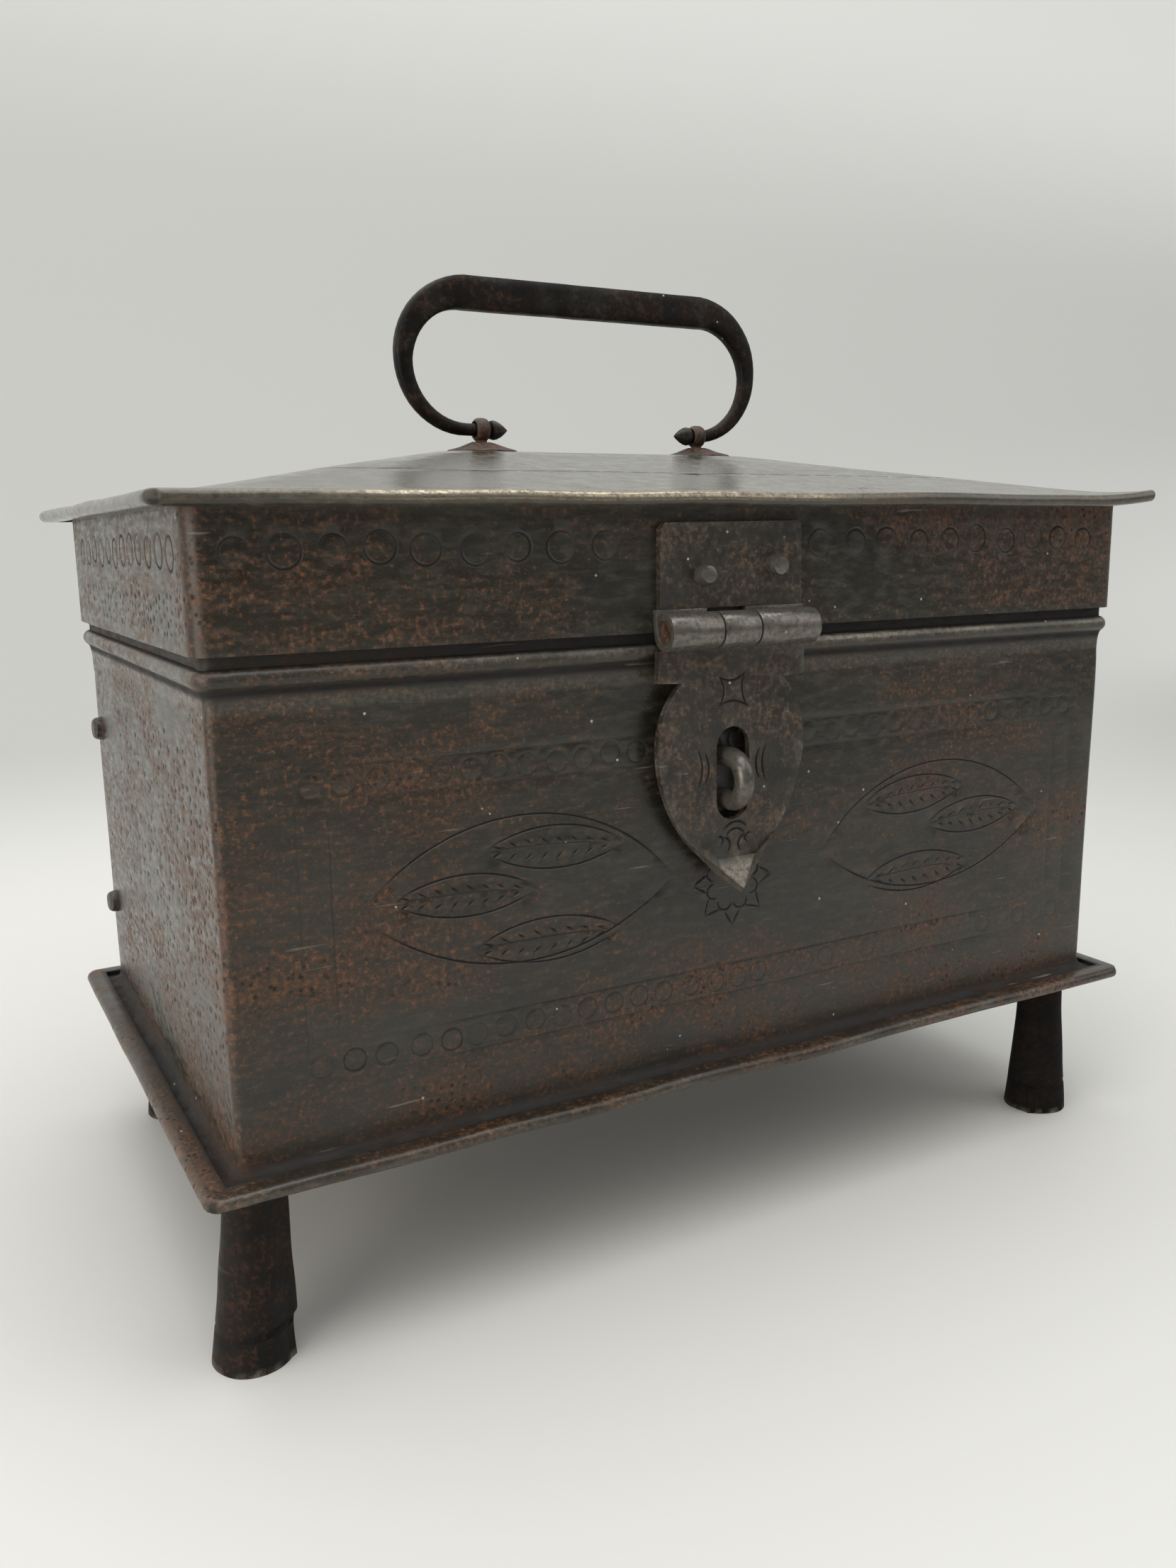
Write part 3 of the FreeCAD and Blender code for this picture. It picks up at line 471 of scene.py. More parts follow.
def scatterPits(s0, s1, v0, v1, count, seed):  # rust pits, thicker towards the front end of the left face
    dice = random.Random(seed)
    dots = []
    margin = rustPits["margin"]
    for i in range(count * rustPits["tries"]):
        s = s0 + margin + (s1 - s0 - 2 * margin) * dice.random() ** rustPits["crowding"]
        v = dice.uniform(v0 + margin, v1 - margin)
        if len(dots) < count and all(math.dist((s, v), dot[:2]) > rustPits["apart"] for dot in dots):
            size = dice.uniform(rustPits["least"], rustPits["most"])
            dots.append((s, v, size, rustPits["depth"] * size / rustPits["most"]))
    return dots


def bandPiece(name, profile, patches, shape):
    # sheet bent round the plan: profile holds (out, z), patches are worked stretches (s0, s1, v0, v1, strokes, pits)
    rise = [0.0]
    for a, b in zip(profile, profile[1:]):
        rise.append(rise[-1] + math.dist(a, b))
    stops = planStops()
    points, faces, grooveDirtAndShadeLevels, rubAndGleamLevels, stains = [], [], [], [], []

    def profileAt(v):
        for i in range(len(rise) - 1):
            if v <= rise[i + 1] + tiny:
                t = (v - rise[i]) / (rise[i + 1] - rise[i])
                return tuple(a + (b - a) * t for a, b in zip(profile[i], profile[i + 1]))
        return profile[-1]

    def addPoint(s, v, depth):
        out, z = profileAt(v)
        x, y = onPlan(s, out)
        # the shape gives a lift, rub that on the wall is partly painted highlight and sheen, and dirt that on the wall
        # is mostly painted shade
        lift, rub, dirtAndShade = shape(x, y, out, z)
        x, y = onPlan(s, out + lift - depth)
        points.append((x, y, z))
        grooveDirtAndShadeLevels.append(min(1.0, max(depth * meshing["grooveDirt"], dirtAndShade)))
        rubAndGleamLevels.append(rub)
        stains.append(stainAt(x, y, z))
        return len(points) - 1

    inPatch = lambda s, v: any(p[0] < s < p[1] and p[2] < v < p[3] for p in patches)
    grid = [[addPoint(s, v, 0.0) for v in rise] for s in stops]
    for i in range(len(stops) - 1):
        for k in range(len(rise) - 1):
            if not inPatch((stops[i] + stops[i + 1]) / 2, (rise[k] + rise[k + 1]) / 2):
                faces.append((grid[i][k], grid[i + 1][k], grid[i + 1][k + 1], grid[i][k + 1]))
    inside = lambda value, low, high: low - tiny <= value <= high + tiny
    for s0, s1, v0, v1, strokes, dots in patches:
        plain = [(s, v) for s in stops for v in rise if inside(s, s0, s1) and inside(v, v0, v1)]
        places, triangles, depths = cutSheet(plain, strokes, (), dots)
        index = [addPoint(p[0], p[1], d) for p, d in zip(places, depths)]
        faces += [tuple(index[i] for i in face) for face in triangles]
    return makePiece(name, points, faces, {"groove": grooveDirtAndShadeLevels, "rub": rubAndGleamLevels, "stain": stains}, sheet)


def arcProfile(centre, radius, first, last, count):
    turns = [math.radians(first + (last - first) * i / count) for i in range(count + 1)]
    return [(centre[0] + radius * math.cos(t), centre[1] + radius * math.sin(t)) for t in turns]


def straightProfile(a, b, step):
    count = max(1, round(math.dist(a, b) / step))
    return [(a[0] + (b[0] - a[0]) * i / count, a[1] + (b[1] - a[1]) * i / count) for i in range(count + 1)]


def joined(*stretches):
    line = []
    for stretch in stretches:
        line += [p for p in stretch if not line or math.dist(line[-1], p) > meshing["samePlace"]]
    return line


# Wall: one bent sheet, foot turned out, bead under the lid, engraved front
wall = {
    "flange": 4.4, "footBend": 3.0, "coveDrop": 11.17, "crestDrop": 4.3, "beadSetIn": 0.15, "crownRadius": 2.0,
    "noseTurn": 58.0, "lipIn": 1.9, "lipHeight": 10.0, "waver": 0.35, "waverSize": 34.0, "ripple": 0.06,
    "rippleSize": 11.0, "stiff": 0.25, "engravedLow": 45.0, "engravedHigh": 125.0, "plainStep": 2.0, "lipStep": 3.0,
    "bendSteps": 4, "crownSteps": 12, "coveSteps": 10, "sharp": 24.0, "pitSeed": 21,
}
# Rub, painted highlight and sheen, and painted shade round the bead, measured up from its middle
beadRubHighlightAndShade = {
    "frontDepth": 3.0, "cornerClear": 8.0, "middleRun": 75.0, "elsewhere": 0.1,
    "noseIn": -1.6, "noseRise": 0.7, "noseHalf": 0.9, "noseLeast": 0.15, "noseMore": 0.4, "spread": 1.3,
    "rubSize": 18.0, "rubMean": 0.75, "rubMore": 1.2, "hollowRise": -5.2, "hollowHalf": 1.4, "hollowSheen": 0.2,
    "gapRise": 1.4, "gapRun": 0.7, "gapShade": 0.95, "lipLess": 0.7, "lipRise": 0.5, "lipRun": 1.5, "gapLeast": 0.72,
    "gapMore": 0.28, "creaseRise": -2.5, "creaseHalf": 0.9, "creaseShade": 0.9, "creaseSpread": 1.4, "footDark": 0.85,
    "footRun": 5.0,
}
ornament = {
    "lineWidth": 0.65, "lineDepth": 0.27, "fineWidth": 0.75, "fineDepth": 0.32, "ringRadius": 2.35, "ringPitch": 6.5,
    "almond": ((-91.4, 89.2), (-18.4, 87.1), 17.0, 14.6),  # both tips, rise above and below
    "leaves": (((-64.8, 98.4), (-30.7, 96.5), 4.6), ((-84.9, 90.5), (-52.1, 89.3), 4.4),
               ((-67.8, 77.9), (-31.6, 77.2), 4.8)),
    "hatches": 8, "hatchFirst": 1.2, "hatchSpare": 1.4, "hatchRoot": 0.2, "hatchRise": 0.36, "hatchLean": -2.0,
    "veinShare": 0.9, "veinBow": 0.6, "fineStep": 1.0, "mirrorLine": 2.6, "faintWidth": 0.6, "faintDepth": 0.16,
    "faintLeast": 0.4, "wornFrom": -15.0, "wornRun": 45.0, "wornMost": 0.6, "seed": 7, "frameStep": 2.5,
    "frameOuter": (-103.0, 108.0, 56.5, 119.2), "frameInner": (-96.6, 101.6, 63.6, 112.8), "slipX": 0.6, "slipZ": 0.4,
    "flower": (-2.2, 83.6), "petals": 8, "petalReach": 5.6, "petalRadius": 1.8, "petalSides": 12, "petalPart": 8,
    "petalTurn": 1.9, "rayReach": 10.8, "rayFoot": 7.4, "rayShare": 0.8,
}


def hatchedLeaf(tipA, tipB, rise, flip):
    strokes = []
    a, b = Vector(tipA), Vector(tipB)
    wide, fine = (ornament["lineWidth"], ornament["lineDepth"]), (ornament["fineWidth"], ornament["fineDepth"])
    for side in (1, -1):
        strokes.append((arcLine(tipA, tipB, rise * side), False) + wide)
        for i in range(ornament["hatches"]):
            t = (i + ornament["hatchFirst"]) / (ornament["hatches"] + ornament["hatchSpare"])
            room = rise * 4 * t * (1 - t)
            start = a.lerp(b, t) + Vector((0.0, side * room * ornament["hatchRoot"]))
            end = start + Vector((ornament["hatchLean"] * flip, side * room * ornament["hatchRise"]))
            strokes.append((arcLine(start, end, 0, ornament["fineStep"]), False) + fine)
    vein = arcLine(tipA, a.lerp(b, ornament["veinShare"]), ornament["veinBow"])
    strokes.append((vein, False, ornament["faintWidth"], ornament["faintDepth"]))
    return strokes


def frontStrokes():
    wide = (ornament["lineWidth"], ornament["lineDepth"])
    strokes = []
    mirror = lambda p: (2 * ornament["mirrorLine"] - p[0], p[1])
    left, right, above, below = ornament["almond"]
    for flip in (1, -1):
        a, b = (left, right) if flip > 0 else (mirror(right), mirror(left))
        strokes.append((arcLine(a, b, above), False) + wide)
        strokes.append((arcLine(a, b, -below), False) + wide)
        for tipA, tipB, rise in ornament["leaves"]:
            ends = (tipA, tipB) if flip > 0 else (mirror(tipB), mirror(tipA))
            strokes += hatchedLeaf(ends[0], ends[1], rise, flip)
    dice = random.Random(ornament["seed"])

    def faint(x):  # the border is worn, most of all to the right of the hasp
        worn = 1 - ornament["wornMost"] * ease((x - ornament["wornFrom"]) / ornament["wornRun"])
        return ornament["faintWidth"], ornament["faintDepth"] * dice.uniform(ornament["faintLeast"], 1.0) * worn

    for x0, x1, z0, z1 in (ornament["frameOuter"], ornament["frameInner"]):
        corners = [(x0, z0), (x1, z0), (x1, z1), (x0, z1)]
        for a, b in zip(corners, corners[1:] + corners[:1]):
            strokes.append((arcLine(a, b, 0, ornament["frameStep"]), False) + faint((a[0] + b[0]) / 2))
    x0, x1, *heights = [(a + b) / 2 for a, b in zip(ornament["frameOuter"], ornament["frameInner"])]
    slip = lambda most: dice.uniform(-most, most)
    for z in heights:
        count = int((x1 - x0) / ornament["ringPitch"])
        for i in range(count + 1):
            at = x0 + (x1 - x0) * i / count + slip(ornament["slipX"])
            ring = ringLine(at, z + slip(ornament["slipZ"]), ornament["ringRadius"])
            strokes.append((ring, True) + faint(at))
    cx, cz = ornament["flower"]
    polar = lambda turn, reach: (cx + reach * math.cos(turn), cz + reach * math.sin(turn))
    sides = ornament["petalSides"]
    for i in range(ornament["petals"]):
        turn = 2 * math.pi * i / ornament["petals"]
        step = math.pi / ornament["petals"]
        petal = ringLine(*polar(turn + step, ornament["petalReach"]), ornament["petalRadius"], sides)
        first = round((turn + step - ornament["petalTurn"]) / (2 * math.pi) * sides)
        strokes.append(([petal[(first + k) % sides] for k in range(ornament["petalPart"])], False) + wide)
        tip = polar(turn, ornament["rayReach"])
        for side in (-1, 1):
            end = polar(turn + side * step * ornament["rayShare"], ornament["rayFoot"])
            strokes.append((arcLine(tip, end, 0, ornament["fineStep"]), False) + wide)
    return strokes


def wallProfile():
    cove, crest = skirtZ - wall["coveDrop"], skirtZ - wall["crestDrop"]
    foot = -chest["wallSetIn"]
    bend, radius = wall["footBend"], wall["crownRadius"]
    drop = math.degrees(math.acos(1 - (wall["lipIn"] - wall["beadSetIn"]) / radius))
    crown = arcProfile((-wall["beadSetIn"] - radius, crest), radius, -wall["noseTurn"], drop, wall["crownSteps"])
    # hollow from the wall up to the underside of the bead
    end = crown[0]
    knee = end[1] - (end[0] - foot) / math.tan(math.radians(wall["noseTurn"]))
    shares = [i / wall["coveSteps"] for i in range(wall["coveSteps"] + 1)]
    swell = [((1 - t * t) * foot + t * t * end[0], (1 - t) ** 2 * cove + 2 * t * (1 - t) * knee + t * t * end[1])
             for t in shares]
    low = floorZ + sheet
    engravedLow, engravedHigh, step = (foot, wall["engravedLow"]), (foot, wall["engravedHigh"]), wall["plainStep"]
    lip = ((-wall["lipIn"], crown[-1][1]), (-wall["lipIn"], skirtZ + wall["lipHeight"]))
    return joined([(wall["flange"], low)], arcProfile((foot + bend, low + bend), bend, 270, 180, wall["bendSteps"]),
                  straightProfile((foot, low + bend), engravedLow, step),
                  straightProfile(engravedLow, engravedHigh, chest["panelStep"]),
                  straightProfile(engravedHigh, (foot, cove), step), swell, crown,
                  straightProfile(*lip, wall["lipStep"]))


def wallShape(x, y, out, z):
    rubHighlightAndShade = beadRubHighlightAndShade
    flat = 1.0 if z < skirtZ - wall["coveDrop"] and out < 0 else wall["stiff"]
    lift = flat * (dent(x, y, z, wall["waverSize"], wall["waver"]) + dent(x, y, z, wall["rippleSize"], wall["ripple"]))
    up = z - (skirtZ - wall["crestDrop"])
    inMiddle = rubHighlightAndShade["elsewhere"]
    if y < midY - halfY + rubHighlightAndShade["frontDepth"]:  # hands rub the middle of the front most; the bead's painted highlight and the gap's painted shade also grow towards it
        inMiddle = ease((x + halfX - rubHighlightAndShade["cornerClear"]) / rubHighlightAndShade["middleRun"])
    # rubbed metal on the bead's nose, partly a painted highlight
    rubAndHighlightOnBead = ease(rubHighlightAndShade["spread"] - abs(up - rubHighlightAndShade["noseRise"]) / rubHighlightAndShade["noseHalf"]) if out > rubHighlightAndShade["noseIn"] else 0.0
    rubAndHighlightOnBead *= (rubHighlightAndShade["noseLeast"] + rubHighlightAndShade["noseMore"] * inMiddle) * rubPatch(rubHighlightAndShade, x, y, z)
    # painted sheen on the hollow under the bead
    sheenInHollow = rubHighlightAndShade["hollowSheen"] * ease(rubHighlightAndShade["spread"] - abs(up - rubHighlightAndShade["hollowRise"]) / rubHighlightAndShade["hollowHalf"])
    # painted shade in the recess under the lid's skirt and in the crease under the bead; darker and rougher at the
    # wall's foot
    onLip = ease((z - skirtZ - rubHighlightAndShade["lipRise"]) / rubHighlightAndShade["lipRun"])
    shadeInGap = ease((up - rubHighlightAndShade["gapRise"]) / rubHighlightAndShade["gapRun"]) * (rubHighlightAndShade["gapShade"] - rubHighlightAndShade["lipLess"] * onLip)
    shadeInGap *= rubHighlightAndShade["gapLeast"] + rubHighlightAndShade["gapMore"] * inMiddle
    shadeInCrease = rubHighlightAndShade["creaseShade"] * ease(rubHighlightAndShade["creaseSpread"] - abs(up - rubHighlightAndShade["creaseRise"]) / rubHighlightAndShade["creaseHalf"])
    darkAtFoot = rubHighlightAndShade["footDark"] * ease(1 - (z - floorZ - sheet) / rubHighlightAndShade["footRun"])
    return lift, max(rubAndHighlightOnBead, sheenInHollow), max(shadeInGap, shadeInCrease, darkAtFoot)


def heightAlong(profile, z):
    total = 0.0
    for a, b in zip(profile, profile[1:]):
        if a[0] < 0 and a[1] <= z + tiny and b[1] > z - tiny and b[1] > a[1]:
            return total + (z - a[1]) / (b[1] - a[1]) * math.dist(a, b)
        total += math.dist(a, b)


profile = wallProfile()
frontStart, frontEnd = legStart("front")
patchLow, patchHigh = (heightAlong(profile, wall[key]) for key in ("engravedLow", "engravedHigh"))
toPatch = lambda p: (frontStart + p[0] + insideX, patchLow + p[1] - wall["engravedLow"])
strokes = [([toPatch(p) for p in line], closed, width, depth) for line, closed, width, depth in frontStrokes()]
leftStart, leftEnd = legStart("left")
pits = scatterPits(leftStart, leftEnd, patchLow, patchHigh, rustPits["wallCount"], wall["pitSeed"])
patches = [(frontStart, frontEnd, patchLow, patchHigh, strokes, []),
           (leftStart, leftEnd, patchLow, patchHigh, [], pits)]
piece = bandPiece("wall_sheet", profile, patches, wallShape)
finishPiece(piece, "body", sheetIron, ["wall_band"], sharp=wall["sharp"])


# Lid skirt: upright band with a row of ring stamps
skirt = {
    "topBend": 0.8, "flange": 5.2, "ringRadius": 3.1, "ringRise": 18.4, "ringPitch": 9.6, "pitchSpread": 0.9,
    "ringWidth": 0.9, "ringDepth": 0.31, "ringSides": 20, "riseSpread": 0.5, "sizeLeast": 0.9, "sizeMost": 1.06,
    "pressLeast": 0.6, "pressMost": 1.05, "pressEven": 0.68, "pressLean": 0.32, "firstGap": 1.5, "lastGap": 1.0,
    "patchLow": 12.0, "patchHigh": 24.0, "waver": 0.25, "waverSize": 40.0, "plateClear": 24.0, "steps": (3.0, 4.0, 2.0),
    "bendSteps": 4, "edgeRub": 0.06, "edgeRun": 0.8, "ringSeed": 3, "pitSeed": 22, "sharp": 24.0,
}


def skirtStrokes(first, last, clear, seed):
    dice = random.Random(seed)
    strokes = []
    sides = skirt["ringSides"]
    s = first + skirt["ringRadius"] + skirt["firstGap"]
    while s < last - skirt["ringRadius"] - skirt["lastGap"]:
        if not clear[0] < s < clear[1]:
            rise = skirt["ringRise"] + dice.uniform(-skirt["riseSpread"], skirt["riseSpread"])
            line = ringLine(s, rise, skirt["ringRadius"] * dice.uniform(skirt["sizeLeast"], skirt["sizeMost"]), sides)
            lean = dice.uniform(0, 2 * math.pi)  # the punch was held askew, so each ring is deeper on one side
            press = skirt["ringDepth"] * dice.uniform(skirt["pressLeast"], skirt["pressMost"])
            depths = [press * (skirt["pressEven"] + skirt["pressLean"] * math.cos(2 * math.pi * k / sides - lean))
                      for k in range(sides)]
            strokes.append((line, True, skirt["ringWidth"], depths))
        s += skirt["ringPitch"] + dice.uniform(-1, 1) * skirt["pitchSpread"]
    return strokes


topZ = roofZ - 2 * sheet
bend = skirt["topBend"]
heights = (skirtZ, skirtZ + skirt["patchLow"], skirtZ + skirt["patchHigh"], topZ - bend)
profile = joined(*(straightProfile((0, a), (0, b), step) for a, b, step in zip(heights, heights[1:], skirt["steps"])),
                 arcProfile((bend, topZ - bend), bend, 180, 90, skirt["bendSteps"]), [(skirt["flange"], topZ)])
patches = []
for seed, side in enumerate(("left", "front", "right", "back")):
    first, last = legStart(side)
    middle = frontStart + insideX + haspAxis[0]
    room = (middle - skirt["plateClear"], middle + skirt["plateClear"])  # bare under the hasp's plate
    rings = skirtStrokes(first, last, room if side == "front" else (0.0, 0.0), seed + skirt["ringSeed"])
    patches.append((first, last, skirt["patchLow"], skirt["patchHigh"], rings, []))
first, last = legStart("left")
pits = scatterPits(first, last, rustPits["margin"], skirt["patchLow"], rustPits["skirtCount"], skirt["pitSeed"])
patches.append((first, last, 0.0, skirt["patchLow"], [], pits))


def skirtShape(x, y, out, z):
    low = max(0.0, 1 - (z - skirtZ) / skirt["edgeRun"])
    return dent(x, y, z, skirt["waverSize"], skirt["waver"]), skirt["edgeRub"] * low, 0.0


piece = bandPiece("lid_skirt_sheet", profile, patches, skirtShape)
finishPiece(piece, "lid", sheetIron, ["lid_skirt"], sharp=skirt["sharp"])


def ringRow(reachX, reachY, radius, z, counts):
    # points round a rounded rectangle, the same number on every row
    row = []
    radius = max(meshing["leastCorner"], radius)
    x, y = reachX - radius, reachY - radius
    sides = (((-x, -reachY), (x, -reachY), counts[0]), ((reachX, -y), (reachX, y), counts[1]),
             ((x, reachY), (-x, reachY), counts[0]), ((-reachX, y), (-reachX, -y), counts[1]))
    centres = ((x, -y, 270), (x, y, 0), (-x, y, 90), (-x, -y, 180))
    for (a, b, count), (cx, cy, first) in zip(sides, centres):
        row += [(a[0] + (b[0] - a[0]) * i / count, a[1] + (b[1] - a[1]) * i / count + midY, z) for i in range(count)]
        for i in range(counts[2]):
            turn = math.radians(first + 90 * i / counts[2])
            row.append((cx + radius * math.cos(turn), cy + radius * math.sin(turn) + midY, z))
    return row


def foldedRows(section, edge, values):  # one row of points for each point of a hem's section
    rows = []
    for out, z in section:
        corner = max(meshing["leastFold"], values["hemCorner"] + out - edge + values["foldRadius"])
        rows.append(ringRow(halfX + out, halfY + out, corner, z, values["counts"]))
    return rows


def cornerNotch(x, y, reachX, edge, values):  # folds butt at the corners, open and dirty
    corner = math.dist((abs(x), abs(y - midY)), (reachX, halfY + edge))
    return max(0.0, 1 - corner / values["notchReach"])


def lofted(rows):
    count = len(rows[0])
    return [p for row in rows for p in row], gridFaces(len(rows), count) + endCaps(len(rows), count)[1:]


# Lid top: hipped sheet, its edge folded under all round
lid = {
    "foldCover": 4.4, "foldRadius": 1.5, "foldStep": 1.5, "foldSteps": 8, "ledgeStep": 1.2, "hemCorner": 1.6,
    "footIn": 4.0, "summitX": 46.0, "summitY": 11.5, "summitCorner": 9.0, "runShares": (0.0, 0.08, 0.30, 0.65, 1.0),
    "riseShares": (0.0, 0.05, 0.275, 0.645, 1.0), "rise": 11.8, "smooth": 0.05, "roofRows": 22, "counts": (72, 40, 6),
    "waver": 0.45, "waverSize": 46.0, "hemWaver": 0.5, "hemSize": 30.0, "hemSlice": 9, "hemStiff": 0.35,
    "hemFadeRows": 4, "topRows": 3, "topStiff": 0.3, "cornerLift": 1.6, "cornerReach": 26.0, "dashRun": 0.47,
    "dashWide": 0.008, "dashClear": 0.02, "dashDepth": 0.16, "dashEvery": 3, "dashDirt": 0.7, "notchDepth": 1.3,
    "notchReach": 2.6, "notchRows": 3, "notchDirt": 3.0, "rubMiddle": -38.0, "rubReach": 62.0, "rubLeast": 0.12,
    "rubSpread": 1.4, "rubRows": (7, 4), "rubMean": 0.95, "rubMore": 1.0, "rubSize": 12.0,
}


def shareAt(value, xs, ys):
    for i in range(len(xs) - 1):
        if value <= xs[i + 1]:
            t = (value - xs[i]) / (xs[i + 1] - xs[i])
            return ys[i] + (ys[i + 1] - ys[i]) * t
    return ys[-1]


def roofRise(run):  # smoothed height share
    spread, shares = lid["smooth"], (lid["runShares"], lid["riseShares"])
    near = [shareAt(min(1.0, max(0.0, run + spread * k / 3)), *shares) for k in range(-3, 4)]
    return sum(near) / len(near) if spread < run < 1 - spread else shareAt(run, *shares)


def lidRows():
    edge, radius = chest["lidLedge"], lid["foldRadius"]
    centre, under = (edge - radius, roofZ - radius), roofZ - 2 * radius
    hem = joined(straightProfile((edge - lid["foldCover"], under), (centre[0], under), lid["foldStep"]),
                 arcProfile(centre, radius, -90, 90, lid["foldSteps"]),
                 straightProfile((centre[0], roofZ), (edge - lid["footIn"], roofZ), lid["ledgeStep"]))
    rows = foldedRows(hem, edge, lid)
    footX, footY = halfX + edge - lid["footIn"], halfY + edge - lid["footIn"]
    dash, count = lid["dashRun"], lid["roofRows"]
    runs = [i / count for i in range(1, count + 1) if abs(i / count - dash) > lid["dashClear"]]
    runs = sorted(runs + [dash - lid["dashWide"], dash, dash + lid["dashWide"]])
    for run in runs:
        corner = lid["footIn"] + (lid["summitCorner"] - lid["footIn"]) * run
        rows.append(ringRow(footX + (lid["summitX"] - footX) * run, footY + (lid["summitY"] - footY) * run, corner,
                            roofZ + lid["rise"] * roofRise(run), lid["counts"]))
    return rows, len(hem), len(hem) + runs.index(dash)


rows, hemCount, dashRow = lidRows()
points, faces = lofted(rows)
moved, rubAndGleamLevels, grooveDirtAndShadeLevels = [], [], []
for i, (x, y, z) in enumerate(points):
    row = i // len(rows[0])
    dashed = 1.0 if row == dashRow and i % lid["dashEvery"] else 0.0
    notch = cornerNotch(x, y, lidHigh[0], chest["lidLedge"], lid) if row < hemCount - lid["notchRows"] else 0.0
    x -= math.copysign(notch * lid["notchDepth"], x)
    lift = dent(x, y, 0, lid["waverSize"], lid["waver"])
    if row < hemCount:
        hemLift = dent(x, y, lid["hemSlice"], lid["hemSize"], lid["hemWaver"])
        lift = lift * lid["hemStiff"] + hemLift * min(1.0, row / lid["hemFadeRows"])
    gap = math.dist((x, y), (lidHigh[0], lidLow[1]))  # front right corner is bent up a little
    lift += lid["cornerLift"] * max(0.0, 1 - gap / lid["cornerReach"]) ** 2
    fade = 1.0 if row < len(rows) - lid["topRows"] else lid["topStiff"]
    moved.append((x, y, z + lift * fade - dashed * lid["dashDepth"]))
    grooveDirtAndShadeLevels.append(max(lid["dashDirt"] * dashed, min(1.0, lid["notchDirt"] * notch)))
    near = ease(lid["rubSpread"] - abs(x - lid["rubMiddle"]) / lid["rubReach"])  # hands rub the hem's middle left; this rub is partly a painted highlight, the hem's warm gleam
    rubAndGleamShare = lid["rubLeast"] + (1 - lid["rubLeast"]) * near
    first, last = lid["rubRows"]
    rubAndGleamLevels.append(rubAndGleamShare * rubPatch(lid, x, y, z) if hemCount - first <= row <= hemCount - last else 0.0)
piece = makePiece("lid_sheet", moved, faces, {"groove": grooveDirtAndShadeLevels, "rub": rubAndGleamLevels}, sheet)
finishPiece(piece, "lid", lidIron, ["lid_top"])


# Base: flat sheet, its edge folded up and over the wall's foot
base = {
    "foldCover": 4.8, "foldRadius": 1.5, "foldStep": 1.5, "foldSteps": 8, "foldReach": 3.0, "hemCorner": 1.6,
    "waver": 0.7, "waverSize": 33.0, "waverSlice": 3, "hemFadeRows": 2, "counts": (60, 36, 5), "innerRows": 6,
    "innerHalf": 8.0, "innerCorner": 4.0, "notchDepth": 1.2, "notchReach": 2.4, "notchDirt": 3.0, "edgeDirt": 0.8,
    "rub": 0.22, "rubRows": (3, 4), "rubMean": 0.5, "rubMore": 1.4, "rubSize": 9.0,
}


def baseRows():
    edge, radius, low = chest["baseLedge"], base["foldRadius"], baseLow[2]
    centre, over = (edge - radius, low + radius), low + 2 * radius
    hem = joined(straightProfile((edge - base["foldCover"], over), (centre[0], over), base["foldStep"]),
                 arcProfile(centre, radius, 90, -90, base["foldSteps"]), [(centre[0] - base["foldReach"], low)])
    rows = foldedRows(hem, edge, base)
    reach, count = halfY - base["innerHalf"], base["innerRows"]
    for i in range(1, count + 1):
        across, along = halfX - reach * i / count, halfY - reach * i / count
        rows.append(ringRow(across, along, base["innerCorner"], low, base["counts"]))
    return rows, len(hem)


rows, hemCount = baseRows()
points, faces = lofted(rows)
moved, rubAndGleamLevels, grooveDirtAndShadeLevels, stains = [], [], [], []
for i, (x, y, z) in enumerate(points):
    row = i // len(rows[0])
    fade = base["hemFadeRows"]
    onHem = max(0.0, 1 - max(0, row - hemCount + fade) / fade)
    notch = cornerNotch(x, y, baseHigh[0], chest["baseLedge"], base) if row < hemCount - 1 else 0.0
    stains.append(stainAt(x, y, z))
    lift = onHem * dent(x, y, base["waverSlice"], base["waverSize"], base["waver"])
    moved.append((x - math.copysign(notch * base["notchDepth"], x), y, z + lift))
    grooveDirtAndShadeLevels.append(max(min(1.0, base["notchDirt"] * notch), base["edgeDirt"] if row == 0 else 0.0))
    first, last = base["rubRows"]
    rubAndGleamLevels.append(base["rub"] * rubPatch(base, x, y, z) if first < row < hemCount - last else 0.0)
faces = [face[::-1] for face in faces]
piece = makePiece("base_sheet", moved, faces, {"groove": grooveDirtAndShadeLevels, "rub": rubAndGleamLevels, "stain": stains}, sheet)
finishPiece(piece, "body", sheetIron, ["base_plate"])


# Feet: sheet rolled into a cone, its edge lapped
foot = {
    "topRadius": 5.5, "bottomRadius": 8.2, "rimSlack": 0.3, "lapDegrees": 42.0, "lapFoot": 7.0, "lapRun": 2.0,
    "lapStand": 1.3, "lapFrom": 350.0, "lapRise": 22.0, "steps": 64, "rows": 22, "flare": 0.25, "bruise": 0.2,
    "bruiseSize": 9.0, "rimWear": 0.3, "rimReach": 5.0, "rimSize": 3.0, "rubHeight": 1.5, "rubMean": 0.3,
    "rubMore": 1.0, "rubSize": 3.0, "stain": 0.6, "tabTurn": 45.0, "tabSpread": 34.0, "tabWidth": 4.0,
    "tabBend": ((0.0, -5.0), (0.0, 0.2), (0.25, 0.75)), "tabFlat": (0.8, 5.5),
}
# node, where the lap starts, which way it rolls, lean, painted shade
feet = (("foot_front_left", 330, 1, 0.95, 0.0), ("foot_front_right", 210, -1, 0.0, 0.6),
        ("foot_back_left", 30, -1, 0.0, 0.0), ("foot_back_right", 150, 1, 0.0, 0.3))


